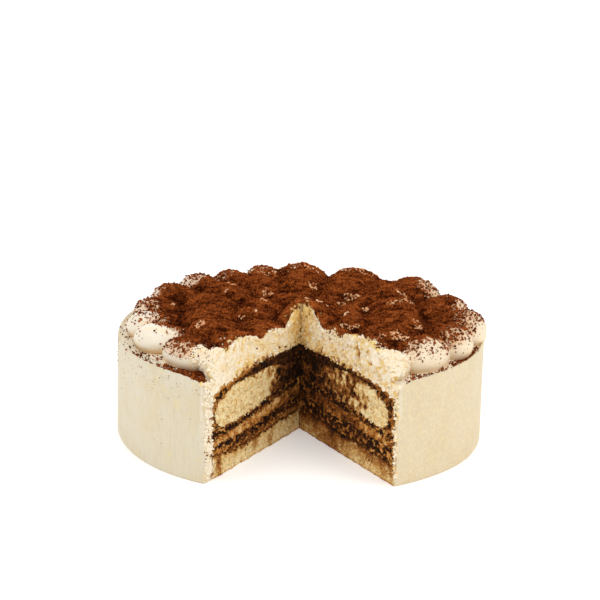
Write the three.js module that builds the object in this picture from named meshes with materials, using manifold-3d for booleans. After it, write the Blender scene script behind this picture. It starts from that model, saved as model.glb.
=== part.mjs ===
// A round tiramisu cake with one slice taken out. From the floor up: soaked base sponge, coffee layer,
// coffee cream, second coffee layer, ladyfinger sponge, cocoa layer, mascarpone cream, then rings of
// piped cream dollops. A coat of cream stands round the side.
// Millimetres, +Z up. The slice opens towards -Y, and the origin is the middle of the footprint.
import * as THREE from 'three';
import { mergeVertices } from 'three/addons/utils/BufferGeometryUtils.js';
import Module from 'manifold-3d';

const wasm = await Module();
wasm.setup();

// ---- Driving dimensions -------------------------------------------------------------------------
const CAKE_RADIUS = 100;
const SLICE_RIGHT = 30; // degrees from the front to the right-hand cut
const SLICE_LEFT = 29; // degrees from the front to the left-hand cut
const GAP = 0.3; // between one piece and the next

const LEDGE = 55; // top of the side coat, where the outer dollops sit
const MOUND = 60; // top of the cream under the inner dollops
const MOUND_EDGE = 66; // radius where the mound starts to fall
const LEDGE_EDGE = 84; // radius where it reaches the ledge
const LIP_RISE = 1.5; // the thin lip of cream round the rim
const CORNER_SLUMP = 2.5; // how far the ledge sags at the two cut corners
const CORNER_REACH = 4.5; // degrees over which it sags

const CORE_RADIUS = { right: 97, left: 91 }; // the layers' outer edge at each cut
const COCOA_END = { right: 6, left: 2 }; // thickness of the cocoa round the ladyfingers' ends
const SHOULDER_REACH = 11; // the bend of the cocoa over their ends, sideways
const SHOULDER_DROP = 4.5; // and downwards

// Height of each layer's top along the two cuts, at these shares of the core radius.
const STATIONS = [0, 0.12, 0.33, 0.55, 0.78, 1];
const TOPS = {
  floor: { right: [0, 0, 0, 0, 0, 0], left: [0, 0, 0, 0, 0, 0] },
  base_sponge: { right: [12, 12, 12, 12, 12, 12], left: [12, 12, 11.5, 10, 10, 12] },
  coffee_lower: { right: [20, 20, 19, 20, 19, 19], left: [20, 20, 19, 16.5, 16.5, 17.5] },
  coffee_cream: { right: [26, 26, 26, 25, 24, 22], left: [26, 26, 25, 23, 21.5, 21] },
  coffee_upper: { right: [31, 31, 30, 30, 27, 25], left: [31, 31, 30, 26, 25, 26] },
  ladyfinger: { right: [41, 41, 45, 47, 46, 43], left: [41, 41, 45, 46, 46, 43] },
  cocoa: { right: [49, 49, 50, 50, 49.5, 47], left: [49, 49, 50, 50, 48.5, 46.5] },
};
const END_BULGE = 9; // how far the ladyfingers' rounded ends stand out
const END_STEPS = 4; // steps round them
const FOOT_SLIP = 3; // their lowest point moves along its slanting face this much more than it grows
const SHOULDER_LIFT = 1.5 * GAP; // the gap over the sloping shoulder
const LAYER_WAVE = 0.7; // how far a layer's top rises and falls on its way round
const CREAM_CRAGS = 1.1; // depth of the lumps in the cut cream
const CALM_RADIUS = 3; // this close to the axis it has none
const COAT_BULGE = 0.3; // unevenness of the side coat's outside
const LIP_WIDTH = 2.8;
const LIP_ROUNDING = 0.8;
const FOOT_ROUNDING = 0.7;

const LAYER_TURNS = 22; // steps round the cake, in the layers
const RIM_TURNS = 40; // in the cream over them and the side coat
const CREAM_TIERS = 2;
const COAT_TIERS = 2;
const OVERRUN = 8; // degrees past each cut, for the shape that the dollops' undersides are cut with

// The dollops. Each has its azimuth, in degrees from the front and counterclockwise seen from above,
// then the radius where its fat end is widest, and where they differ from their ring, how much lower it
// is and how much wider it is than the room between its neighbours.
const OUTER_RING = {
  fat: 10.5, tail: 26, height: 11, base: 59,
  spots: [
    [30, 83, 0.5], [51, 83.5, 0, 1.36], [69, 86], [87, 90, 0.8], [107.5, 86, 1.2], [130, 85, -0.3, 1.25],
    [146, 82, 4.8], [158, 83, 0.8, 1.2], [180.5, 84], [196, 83, 1], [209.5, 83, 1.5], [224.5, 84.5],
    [241, 84, 1.2], [259, 83, 1.5], [274, 83.5, 2.5], [290.5, 82.5, 3.8], [314, 80.5, 2.5, 1.15],
    [333, 82, 1.5],
  ],
};
const MIDDLE_RING = {
  fat: 11, tail: 25, height: 9.5, base: 61,
  spots: [
    [30, 65], [55, 60], [80, 54], [105, 54], [130, 60], [155, 58], [180, 58], [205, 57], [229, 57],
    [253, 54], [278, 52], [303, 57], [327, 65],
  ],
};
const INNER_RING = {
  fat: 9.5, tail: 18, height: 7, base: 60,
  spots: [[28, 33], [66, 30], [106, 28], [148, 30], [190, 31], [232, 30], [272, 28], [316, 32]],
};
const CENTRE_DOLLOP = { x: 5, y: -4, radius: 15, height: 15, lean: -3 };
// Its outline, as shares of its radius and heights over the mound.
const CENTRE_OUTLINE = [[0, -4], [0.92, -4], [1, 1], [0.86, 6.5], [0.55, 10.5], [0.24, 12.8], [0, 15]];
const DOLLOP_SIDES = 12;
const DOLLOP_RINGS = 7;
const DOLLOP_SQUEEZE = 1.06; // how much wider most of them are than that room
const WIDEST_DOLLOP = 34;
const TAIL_TAPER = 0.6; // how much of its width and height a tail loses
const TAIL_POWER = 1.5;
const UNEVEN_SIZE = 0.06;

// ---- Small tools --------------------------------------------------------------------------------
// The cake runs from the right-hand cut, round the back, to the left-hand cut.
const SLICE_START = SLICE_RIGHT;
const SLICE_END = 360 - SLICE_LEFT;
const mix = THREE.MathUtils.lerp;
const step = (value, low, high) => THREE.MathUtils.smoothstep(value, low, high);

// A repeatable number between -1 and 1 for each whole number.
function scatter(seed) {
  const raw = Math.sin(seed * 127.1 + 311.7) * 43758.5453;
  return 2 * (raw - Math.floor(raw)) - 1;
}

// A point at a radius, an azimuth in degrees from the front and a height.
function place(radius, azimuth, z) {
  const angle = THREE.MathUtils.degToRad(azimuth);
  return new THREE.Vector3(radius * Math.sin(angle), -radius * Math.cos(angle), z);
}

// How far round the cake an azimuth is: 0 at the right-hand cut, 1 at the left-hand one.
const roundShare = (azimuth) => (azimuth - SLICE_START) / (SLICE_END - SLICE_START);

// A value that changes smoothly from the right-hand cut to the left-hand cut.
function between(pair, azimuth) {
  return mix(pair.right, pair.left, step(roundShare(azimuth), 0, 1));
}

// Linear interpolation in a row of values at the stations.
function alongStations(values, share) {
  const next = Math.max(1, STATIONS.findIndex((station) => station >= share - 1e-9));
  const last = next - 1;
  return mix(values[last], values[next], (share - STATIONS[last]) / (STATIONS[next] - STATIONS[last]));
}

const coreRadius = (azimuth) => between(CORE_RADIUS, azimuth);

// The top of a named layer. Its unevenness dies out towards the cake's axis, where all azimuths meet.
function topOf(name, share, azimuth) {
  const { right, left } = TOPS[name];
  const height = between(
    { right: alongStations(right, share), left: alongStations(left, share) },
    azimuth,
  );
  if (name === 'floor') return height;
  const phase = name.length * 1.7;
  const turn = THREE.MathUtils.degToRad(azimuth);
  const wave = Math.sin(5 * turn + phase + 3 * share) * 0.6 + Math.sin(9 * turn - 2 * phase) * 0.4;
  return height + LAYER_WAVE * wave * Math.min(1, share * 2);
}

// The height of the cake under its dollops: the mound, the ledge and the lip, sagging at the corners.
function deckHeight(radius, azimuth) {
  const mound = mix(MOUND, LEDGE, step(radius, MOUND_EDGE, LEDGE_EDGE));
  const lip = LIP_RISE * step(radius, CAKE_RADIUS - LIP_WIDTH, CAKE_RADIUS - LIP_WIDTH / 2);
  const cornerDistance = Math.min(azimuth - SLICE_START, SLICE_END - azimuth) / CORNER_REACH;
  const slump = CORNER_SLUMP * Math.exp(-cornerDistance * cornerDistance);
  return mound + lip - slump * step(radius, MOUND_EDGE, CAKE_RADIUS);
}

// ---- A solid on a bent grid ---------------------------------------------------------------------
// pointAt(i, j, k) gives the points of a block of ni x nj x nk cells, with i outwards, j round the cake
// and k upwards. Only its skin is kept, and points that fall together are joined.
function gridSolid(ni, nj, nk, pointAt) {
  const positions = [];
  const quad = (a, b, c, d) => {
    for (const [i, j, k] of [a, b, c, a, c, d]) positions.push(...pointAt(i, j, k).toArray());
  };
  for (let i = 0; i < ni; i += 1) {
    for (let j = 0; j < nj; j += 1) {
      quad([i, j, nk], [i + 1, j, nk], [i + 1, j + 1, nk], [i, j + 1, nk]);
      quad([i, j, 0], [i, j + 1, 0], [i + 1, j + 1, 0], [i + 1, j, 0]);
    }
  }
  for (let j = 0; j < nj; j += 1) {
    for (let k = 0; k < nk; k += 1) {
      quad([ni, j, k], [ni, j + 1, k], [ni, j + 1, k + 1], [ni, j, k + 1]);
      quad([0, j, k], [0, j, k + 1], [0, j + 1, k + 1], [0, j + 1, k]);
    }
  }
  for (let i = 0; i < ni; i += 1) {
    for (let k = 0; k < nk; k += 1) {
      quad([i, nj, k], [i, nj, k + 1], [i + 1, nj, k + 1], [i + 1, nj, k]);
      quad([i, 0, k], [i + 1, 0, k], [i + 1, 0, k + 1], [i, 0, k + 1]);
    }
  }
  const geometry = new THREE.BufferGeometry();
  geometry.setAttribute('position', new THREE.Float32BufferAttribute(positions, 3));
  return joined(geometry);
}

// Joins points that fall together, and drops the triangles that this flattens.
function joined(source) {
  const bare = new THREE.BufferGeometry();
  bare.setAttribute('position', source.getAttribute('position'));
  if (source.index) bare.setIndex(source.index);
  const merged = mergeVertices(bare, 1e-3);
  const corners = merged.index.array;
  const kept = [];
  for (let t = 0; t < corners.length; t += 3) {
    const [a, b, c] = corners.slice(t, t + 3);
    if (a !== b && b !== c && c !== a) kept.push(a, b, c);
  }
  merged.setIndex(kept);
  return merged;
}

// ---- Joins and cuts -----------------------------------------------------------------------------
function toManifold(geometry) {
  return new wasm.Manifold(new wasm.Mesh({
    numProp: 3,
    vertProperties: new Float32Array(geometry.getAttribute('position').array),
    triVerts: new Uint32Array(geometry.index.array),
  }));
}

function fromManifold(solid) {
  const { vertProperties, triVerts } = solid.getMesh();
  const geometry = new THREE.BufferGeometry();
  geometry.setAttribute('position', new THREE.BufferAttribute(vertProperties, 3));
  geometry.setIndex(new THREE.BufferAttribute(triVerts, 1));
  return geometry;
}

// ---- Materials ----------------------------------------------------------------------------------
const finish = (color, roughness) => new THREE.MeshStandardMaterial({ color, roughness, metalness: 0 });
const CREAM = finish(0xf1e4c6, 0.5);
const PIPED_CREAM = finish(0xf5ecd6, 0.45);
const SPONGE = finish(0xdfb878, 0.9);
const COFFEE_CREAM = finish(0xa87440, 0.8);
const COFFEE = finish(0x2c1710, 0.75);
const COCOA = finish(0x4a2414, 0.95);

const cake = new THREE.Group();

function addPiece(name, geometry, material) {
  const mesh = new THREE.Mesh(geometry, material);
  mesh.name = name;
  cake.add(mesh);
}

// ---- Layers -------------------------------------------------------------------------------------
const azimuthAt = (j, steps) => mix(SLICE_START, SLICE_END, j / steps);

// A flat layer from the top of the one below, or the floor, up to its own top.
function layer(below, above) {
  const gap = below === 'floor' ? 0 : GAP;
  return gridSolid(STATIONS.length - 1, LAYER_TURNS, 1, (i, j, k) => {
    const azimuth = azimuthAt(j, LAYER_TURNS);
    const share = STATIONS[i];
    const z = k === 1 ? topOf(above, share, azimuth) : topOf(below, share, azimuth) + gap;
    return place(share * coreRadius(azimuth), azimuth, z);
  });
}

addPiece('base_sponge', layer('floor', 'base_sponge'), SPONGE);
addPiece('coffee_layer_lower', layer('base_sponge', 'coffee_lower'), COFFEE);
addPiece('coffee_cream_layer', layer('coffee_lower', 'coffee_cream'), COFFEE_CREAM);
addPiece('coffee_layer_upper', layer('coffee_cream', 'coffee_upper'), COFFEE);

// The outline of the ladyfingers at one azimuth: along their top, round their ends and down to the
// layer below. Moving it outwards by `grow` gives the inside of the cocoa.
const OUTLINE_ROWS = STATIONS.length - 1 + END_STEPS;

function ladyfingerOutline(azimuth, grow = 0) {
  const core = coreRadius(azimuth);
  const bend = core - between(COCOA_END, azimuth) - END_BULGE - GAP;
  const low = topOf('coffee_upper', bend / core, azimuth) + GAP;
  const high = topOf('ladyfinger', 1, azimuth);
  const outline = STATIONS.slice(0, -1).map((share) => (
    { r: share * core, z: topOf('ladyfinger', share, azimuth) + grow }
  ));
  for (let n = 0; n < END_STEPS; n += 1) {
    const turn = Math.PI * (0.5 - n / END_STEPS);
    outline.push({
      r: bend + (END_BULGE + grow) * Math.cos(turn),
      z: (low + high) / 2 + ((high - low) / 2 + grow) * Math.sin(turn),
    });
  }
  const foot = bend + FOOT_SLIP * grow;
  outline.push({ r: foot, z: topOf('coffee_upper', foot / core, azimuth) + GAP });
  return outline;
}

// The outside of the cocoa: over the ladyfingers, round a shoulder and straight down to the layer below.
function cocoaOutline(azimuth) {
  const core = coreRadius(azimuth);
  const low = topOf('coffee_upper', 1, azimuth) + GAP;
  const high = topOf('cocoa', 1, azimuth);
  const shoulder = high - SHOULDER_DROP;
  const outline = STATIONS.slice(0, -1).map((share) => (
    { r: share * core, z: topOf('cocoa', share, azimuth) }
  ));
  outline.push(
    { r: core - SHOULDER_REACH, z: high },
    { r: core - SHOULDER_REACH / 3, z: high - SHOULDER_DROP / 3 },
    { r: core, z: shoulder },
    { r: core, z: (shoulder + low) / 2 },
    { r: core, z: low },
  );
  return outline;
}

addPiece('ladyfinger_layer', gridSolid(OUTLINE_ROWS, LAYER_TURNS, 1, (i, j, k) => {
  const azimuth = azimuthAt(j, LAYER_TURNS);
  const outline = ladyfingerOutline(azimuth);
  if (k === 1) return place(outline[i].r, azimuth, outline[i].z);
  const foot = i < STATIONS.length - 1 ? outline[i].r : outline[OUTLINE_ROWS].r;
  return place(foot, azimuth, topOf('coffee_upper', foot / coreRadius(azimuth), azimuth) + GAP);
}), SPONGE);

addPiece('cocoa_layer', gridSolid(OUTLINE_ROWS, LAYER_TURNS, 1, (i, j, k) => {
  const azimuth = azimuthAt(j, LAYER_TURNS);
  const point = k === 1 ? cocoaOutline(azimuth)[i] : ladyfingerOutline(azimuth, GAP)[i];
  return place(point.r, azimuth, point.z);
}), COCOA);

// ---- Cream --------------------------------------------------------------------------------------
const CREAM_ROWS = STATIONS.length + 1; // the stations, then two more points down the shoulder

// Shifts a point of the cream along its azimuth, by lumps that die out towards the axis.
function torn(radius, azimuth, seed) {
  const lump = CREAM_CRAGS * step(radius, CALM_RADIUS, 4 * CALM_RADIUS) * scatter(seed);
  return azimuth + THREE.MathUtils.radToDeg(lump / Math.max(radius, CALM_RADIUS));
}

addPiece('cream_layer', gridSolid(CREAM_ROWS, RIM_TURNS, CREAM_TIERS, (i, j, k) => {
  const azimuth = azimuthAt(j, RIM_TURNS);
  const { r, z } = cocoaOutline(azimuth)[i];
  const low = z + (i < STATIONS.length ? GAP : SHOULDER_LIFT);
  const atCut = j === 0 || j === RIM_TURNS;
  const seat = atCut ? torn(r, azimuth, i * 7 + k * 31 + j) : azimuth;
  return place(r, seat, mix(low, deckHeight(r, azimuth), k / CREAM_TIERS));
}), CREAM);

// The radii of the side coat's inner face, the foot of its lip, the lip and its outer face.
function coatRadii(azimuth, k) {
  const inner = coreRadius(azimuth) + GAP;
  const bulge = COAT_BULGE * (Math.sin(THREE.MathUtils.degToRad(7 * azimuth) + k) - 1);
  return [
    inner,
    Math.max(CAKE_RADIUS - LIP_WIDTH, inner + GAP),
    CAKE_RADIUS - LIP_WIDTH / 2,
    CAKE_RADIUS + bulge - (k === 0 ? FOOT_ROUNDING : 0),
  ];
}

addPiece('side_coat', gridSolid(3, RIM_TURNS, COAT_TIERS, (i, j, k) => {
  const azimuth = azimuthAt(j, RIM_TURNS);
  const r = coatRadii(azimuth, k)[i];
  const top = deckHeight(r, azimuth) - (i === 3 ? LIP_ROUNDING : 0);
  return place(r, azimuth, top * (k / COAT_TIERS));
}), CREAM);

// Everything under the dollops, lifted by the gap and run on past both cuts, to cut them with.
function underside() {
  const outline = (azimuth) => [
    ...cocoaOutline(azimuth).slice(0, CREAM_ROWS + 1).map(({ r }) => r),
    ...coatRadii(azimuth, COAT_TIERS).slice(1),
  ];
  const turns = RIM_TURNS + 2;
  return gridSolid(outline(SLICE_START).length - 1, turns, 1, (i, j, k) => {
    const azimuth = azimuthAt(THREE.MathUtils.clamp(j - 1, 0, RIM_TURNS), RIM_TURNS);
    const overrun = (j === turns ? OVERRUN : 0) - (j === 0 ? OVERRUN : 0);
    const r = outline(azimuth)[i];
    return place(r, azimuth + overrun, k === 1 ? deckHeight(r, azimuth) + GAP : LEDGE / 2);
  });
}

// ---- Dollops ------------------------------------------------------------------------------------
// A piped dollop: a fat round end outwards and a tapering tail inwards, from a stretched sphere whose
// poles are its two ends.
function dollop({ azimuth, centre, fat, tail, width, height, base }, grow) {
  const sphere = new THREE.SphereGeometry(1, DOLLOP_SIDES, DOLLOP_RINGS);
  const spots = sphere.getAttribute('position');
  for (let n = 0; n < spots.count; n += 1) {
    const out = spots.getY(n);
    const taper = out < 0 ? 1 - TAIL_TAPER * (-out) ** TAIL_POWER : 1;
    const along = out * ((out < 0 ? tail : fat) + grow);
    const side = spots.getX(n) * (width / 2 + grow) * taper;
    const up = -spots.getZ(n) * (height + grow) * taper;
    const spot = place(centre + along, azimuth, base + up);
    spot.addScaledVector(place(1, azimuth + 90, 0), side);
    spots.setXYZ(n, ...spot.toArray());
  }
  return toManifold(joined(sphere));
}

// The dollops of a ring, each as wide as the room between its neighbours and a little uneven.
function dollopsIn({ spots, fat, tail, height, base }) {
  return spots.map(([azimuth, centre, lower = 0, squeeze = DOLLOP_SQUEEZE], n) => {
    const before = spots[Math.max(n - 1, 0)][0];
    const after = spots[Math.min(n + 1, spots.length - 1)][0];
    const neighbours = n === 0 || n === spots.length - 1 ? 1 : 2;
    const room = THREE.MathUtils.degToRad((after - before) / neighbours) * centre;
    return {
      azimuth, centre, fat, base,
      width: Math.min(room * squeeze, WIDEST_DOLLOP),
      height: height * (1 + UNEVEN_SIZE * scatter(azimuth)) - lower,
      tail: tail * (1 + UNEVEN_SIZE * scatter(azimuth + 1)),
    };
  });
}

// The last dollop, in the middle: a pointed blob from a turned outline, its tip leaning over.
function centreDollop(grow) {
  const { x, y, radius, height, lean } = CENTRE_DOLLOP;
  const outline = CENTRE_OUTLINE.map(([share, z]) => (
    new THREE.Vector2(share * (radius + grow), z + (z > 0 ? grow : 0))
  ));
  const blob = new THREE.LatheGeometry(outline, 2 * DOLLOP_SIDES);
  blob.rotateX(Math.PI / 2);
  const spots = blob.getAttribute('position');
  for (let n = 0; n < spots.count; n += 1) {
    const share = Math.max(0, spots.getZ(n) / height);
    spots.setXYZ(n, spots.getX(n) + x + lean * share ** 2, spots.getY(n) + y, spots.getZ(n) + MOUND);
  }
  return toManifold(joined(blob));
}

// The slice that is gone, as a wedge to cut with.
function sliceWedge() {
  const reach = 2 * CAKE_RADIUS;
  const corners = [place(0, 0, 0), place(reach, -SLICE_LEFT, 0), place(reach, SLICE_RIGHT, 0)];
  const shape = new THREE.Shape(corners.map(({ x, y }) => new THREE.Vector2(x, y)));
  return toManifold(joined(new THREE.ExtrudeGeometry(shape, { depth: reach, bevelEnabled: false })));
}

// The largest piece of a solid, without the crumbs that a cut can leave.
function largestPiece(solid) {
  return solid.decompose().reduce((best, piece) => (piece.volume() > best.volume() ? piece : best));
}

const cutAway = sliceWedge().add(toManifold(underside()));
const rings = [['outer', OUTER_RING], ['middle', MIDDLE_RING], ['inner', INNER_RING]]
  .map(([name, ring]) => ({ name, dollops: dollopsIn(ring) }));

// Every dollop gives way to the one beside it, and to the ring that was piped over its tail.
rings.forEach(({ name, dollops }, level) => {
  const above = level + 1 < rings.length
    ? rings[level + 1].dollops.map((sizes) => dollop(sizes, GAP))
    : [centreDollop(GAP)];
  dollops.forEach((sizes, n) => {
    const beside = dollops.slice(n + 1, n + 2).map((next) => dollop(next, GAP));
    const solid = [cutAway, ...beside, ...above].reduce((rest, cut) => rest.subtract(cut), dollop(sizes, 0));
    const number = String(n + 1).padStart(2, '0');
    addPiece(`${name}_dollop_${number}`, fromManifold(largestPiece(solid)), PIPED_CREAM);
  });
});
addPiece('centre_dollop', fromManifold(largestPiece(centreDollop(0).subtract(cutAway))), PIPED_CREAM);

// ---- Hand over ----------------------------------------------------------------------------------
const footprint = new THREE.Box3().setFromObject(cake).getCenter(new THREE.Vector3());
cake.position.set(-footprint.x, -footprint.y, 0);
const tiramisu = new THREE.Group();
tiramisu.add(cake);
tiramisu.updateMatrixWorld(true);
export default tiramisu;
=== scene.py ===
"""A round tiramisu with a slice taken out: layers, cream coat, piped cream and sifted cocoa.

The cake's own measures are in millimetres, and an azimuth is in degrees from the front, towards +X.
`at` turns both into Blender's metres, round the cake's axis.
"""

import math
from collections import Counter, namedtuple

import bmesh
import bpy
import numpy as np
from mathutils import Matrix, Vector, noise
from mathutils.bvhtree import BVHTree


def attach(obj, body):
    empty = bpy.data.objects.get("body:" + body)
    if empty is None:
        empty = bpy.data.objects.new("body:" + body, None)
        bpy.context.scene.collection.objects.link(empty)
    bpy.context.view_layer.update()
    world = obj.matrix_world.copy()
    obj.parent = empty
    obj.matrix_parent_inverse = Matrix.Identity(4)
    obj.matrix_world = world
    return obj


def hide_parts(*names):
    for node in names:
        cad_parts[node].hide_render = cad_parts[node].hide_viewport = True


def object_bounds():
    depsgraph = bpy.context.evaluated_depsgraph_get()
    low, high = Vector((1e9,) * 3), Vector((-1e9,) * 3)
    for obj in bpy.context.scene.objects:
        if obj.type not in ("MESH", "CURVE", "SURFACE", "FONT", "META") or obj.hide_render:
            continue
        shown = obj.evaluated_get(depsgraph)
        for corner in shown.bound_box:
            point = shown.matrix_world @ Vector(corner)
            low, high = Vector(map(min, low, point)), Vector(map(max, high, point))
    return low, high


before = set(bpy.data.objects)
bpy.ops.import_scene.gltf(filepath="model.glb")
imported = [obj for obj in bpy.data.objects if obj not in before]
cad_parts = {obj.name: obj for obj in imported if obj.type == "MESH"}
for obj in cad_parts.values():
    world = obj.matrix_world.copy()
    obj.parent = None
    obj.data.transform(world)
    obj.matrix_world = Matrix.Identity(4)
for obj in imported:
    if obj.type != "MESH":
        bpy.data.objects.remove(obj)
CAD_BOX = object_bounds()

# ---- Driving dimensions, in millimetres and degrees ------------------------------------------------
MM = 0.001
CAKE_RADIUS = 100
SLICE_START = 30  # azimuth of the right-hand cut
SLICE_END = 331  # azimuth of the left-hand cut, the long way round
CUTS = (SLICE_START, SLICE_END)
LEDGE = 55  # top of the side coat
MOUND = 60  # top of the cream under the inner dollops
MOUND_EDGE, LEDGE_EDGE = 66, 84  # radii between which the mound falls to the ledge
LIP_RISE = 1.5  # the thin lip round the rim
LIP_INNER, LIP_OUTER = 97.2, 98.6  # radii between which it rises
CORNER_SLUMP, CORNER_REACH = 2.5, 4.5  # the ledge sags this far, within this many degrees of a cut
COAT_BULGE = 0.3

# Right-hand cut first, then the left-hand one.
CORE_RADIUS = (97, 91)  # where the layers end and the coat begins
COCOA_END = (6, 2)  # thickness of the cocoa round the ladyfingers' ends
END_BULGE = 9  # how far their rounded ends stand out
SHOULDER_REACH, SHOULDER_DROP = 11, 4.5  # the bend of the cocoa over the ends

# Height of each layer's top along the two cuts, at these shares of the core radius.
STATIONS = (0, 0.12, 0.33, 0.55, 0.78, 1)
TOPS = {
    "floor": ((0, 0, 0, 0, 0, 0), (0, 0, 0, 0, 0, 0)),
    "base_sponge": ((12, 12, 12, 12, 12, 12), (12, 12, 11.5, 10, 10, 12)),
    "coffee_lower": ((20, 20, 19, 20, 19, 19), (20, 20, 19, 16.5, 16.5, 17.5)),
    "coffee_cream": ((26, 26, 26, 25, 24, 22), (26, 26, 25, 23, 21.5, 21)),
    "coffee_upper": ((31, 31, 30, 30, 27, 25), (31, 31, 30, 26, 25, 26)),
    "ladyfinger": ((41, 41, 45, 47, 46, 43), (41, 41, 45, 46, 46, 43)),
    "cocoa": ((49, 49, 50, 50, 49.5, 47), (49, 49, 50, 50, 48.5, 46.5)),
}
LAYER_WAVE = 0.7

# The dollops: azimuth, the radius where the fat end is widest, how much lower it is than its ring, and
# how much wider than its room.
OUTER_RING = {
    "fat": 10.5, "tail": 26, "height": 11, "base": 59,
    "spots": (
        (30, 83, 0.5, 1.06), (51, 83.5, 0, 1.36), (69, 86, 0, 1.06), (87, 90, 0.8, 1.06),
        (107.5, 86, 1.2, 1.06), (130, 85, -0.3, 1.25), (146, 82, 4.8, 1.06), (158, 83, 0.8, 1.2),
        (180.5, 84, 0, 1.06), (196, 83, 1, 1.06), (209.5, 83, 1.5, 1.06), (224.5, 84.5, 0, 1.06),
        (241, 84, 1.2, 1.06), (259, 83, 1.5, 1.06), (274, 83.5, 2.5, 1.06), (290.5, 82.5, 3.8, 1.06),
        (314, 80.5, 2.5, 1.15), (333, 82, 1.5, 1.06),
    ),
}
MIDDLE_RING = {
    "fat": 11, "tail": 25, "height": 9.5, "base": 61,
    "spots": (
        (30, 65, 0, 1.06), (55, 60, 0, 1.06), (80, 54, 0, 1.06), (105, 54, 0, 1.06), (130, 60, 0, 1.06),
        (155, 58, 0, 1.06), (180, 58, 0, 1.06), (205, 57, 0, 1.06), (229, 57, 0, 1.06),
        (253, 54, 0, 1.06), (278, 52, 0, 1.06), (303, 57, 0, 1.06), (327, 65, 0, 1.06),
    ),
}
INNER_RING = {
    "fat": 9.5, "tail": 18, "height": 7, "base": 60,
    "spots": (
        (28, 33, 0, 1.06), (66, 30, 0, 1.06), (106, 28, 0, 1.06), (148, 30, 0, 1.06),
        (190, 31, 0, 1.06), (232, 30, 0, 1.06), (272, 28, 0, 1.06), (316, 32, 0, 1.06),
    ),
}
RINGS = {"outer": OUTER_RING, "middle": MIDDLE_RING, "inner": INNER_RING}
WIDEST_DOLLOP = 34
TAIL_TAPER, TAIL_POWER = 0.6, 1.5
UNEVEN_SIZE = 0.06
CENTRE_SPOT = (5, -4)
CENTRE_LEAN = -3
CENTRE_OUTLINE = ((0, -4), (13.8, -4), (15, 1), (12.9, 6.5), (8.2, 10.5), (3.6, 12.8), (0, 14.6))

# Sifted cocoa: at each azimuth, the radius out to which it covers the cream and the radius where it
# has thinned out to single specks.
DUSTING = (
    (30, 56, 80), (48, 62, 102), (60, 69, 107), (74, 72, 109), (84, 70, 109), (103, 68, 108), (116, 68, 105),
    (124, 68, 101), (134, 77, 105), (148, 77, 104), (162, 78, 105), (178, 75, 103), (188, 76, 104),
    (194, 71, 101), (201, 68, 101), (213, 66, 103), (223, 65, 103), (231, 63, 101), (238, 67, 99),
    (246, 70, 103), (262, 68, 101), (278, 62, 93), (290, 57, 84), (299, 58, 86), (306, 63, 102),
    (314, 69, 107), (331, 60, 98),
)
SPARSE = 0.015  # how much lies beyond the second radius
# Where the cream's peaks show through the cocoa as rings of small pale flecks: azimuth, radius, how far
# the ring reaches and how many flecks there are.
FLECKS = (
    (173, 48, 2.6, 34), (172, 29, 2.0, 14), (157, 23, 2.2, 26), (140, 20, 2.0, 26), (134, 18, 1.4, 14),
    (131, 29, 2.2, 18), (144, 45, 2.6, 26), (136, 43, 2.2, 22), (104, 36, 1.8, 22), (91, 25, 1.8, 14),
    (50, 30, 1.6, 12), (52, 34, 1.8, 14), (56, 36, 1.4, 10), (75, 64, 2.4, 22), (70, 66, 3.0, 30),
    (49, 66, 2.8, 46), (49, 71, 2.6, 40), (122, 65, 2.8, 22), (100, 49, 2.0, 10), (101, 54, 2.4, 14),
    (104, 60, 2.6, 18), (45, 60, 2.0, 14), (234, 51, 1.0, 10), (225, 56, 2.2, 16), (207, 41, 3.0, 26),
    (229, 28, 1.6, 12), (278, 25, 1.6, 8), (285, 33, 1.6, 8), (303, 63, 2.4, 44), (261, 71, 1.2, 8),
    (186, 84, 7.0, 60), (177, 84, 7.0, 60), (160, 84, 7.0, 46), (153, 84, 5.0, 34), (195, 76, 5.0, 36),
)
# Where cocoa has gathered on the ledge: azimuth, half its width in degrees and how much.
LEDGE_DRIFTS = (
    (323, 12, 1.0), (300, 10, 0.3), (68, 14, 0.9), (44, 10, 0.5), (90, 14, 0.6), (130, 40, 0.5),
    (180, 40, 0.5), (225, 20, 0.3), (262, 20, 0.12),
)


# ---- Small tools ------------------------------------------------------------------------------------
def mix(a, b, share):
    """The value that lies this share of the way from a to b."""
    return a + (b - a) * share


def ease(value, low, high):
    """0 up to low, 1 from high on, and a smooth step between."""
    share = min(1.0, max(0.0, (value - low) / (high - low)))
    return share * share * (3 - 2 * share)


def lumps(x, y, z, size):
    """Smooth noise between about -1 and 1, in lumps of this size."""
    return noise.noise(Vector((x, y, z)) / size) * 1.4


def scatter(seed):
    """A repeatable number between -1 and 1 for each whole number."""
    raw = math.sin(seed * 127.1 + 311.7) * 43758.5453
    return 2 * (raw - math.floor(raw)) - 1


def slice_tip():
    """Where the two cuts meet, which is the cake's axis: most of the sponge's triangles share it."""
    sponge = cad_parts["base_sponge"].data
    corners = Counter((round(v.co.x, 6), round(v.co.y, 6)) for v in sponge.vertices)
    return Vector(corners.most_common(1)[0][0])


AXIS = slice_tip()


def at(radius, azimuth, height):
    """A point at a radius, azimuth and height of the cake, in metres."""
    turn = math.radians(azimuth)
    x, y = AXIS.x + MM * radius * math.sin(turn), AXIS.y - MM * radius * math.cos(turn)
    return Vector((x, y, MM * height))


def offsets(radius, azimuth):
    """The x and y of a spot from the cake's axis."""
    turn = math.radians(azimuth)
    return radius * math.sin(turn), -radius * math.cos(turn)


def polar(x, y):
    """The radius and azimuth of a spot at this x and y from the cake's axis."""
    return math.hypot(x, y), math.degrees(math.atan2(x, -y)) % 360


def where(point):
    """The radius, azimuth and height of a point in metres."""
    radius, azimuth = polar((point.x - AXIS.x) / MM, (point.y - AXIS.y) / MM)
    return radius, azimuth, point.z / MM


def between(pair, azimuth):
    """A value that changes smoothly from the right-hand cut to the left-hand one."""
    return mix(*pair, ease(azimuth, *CUTS))


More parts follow.
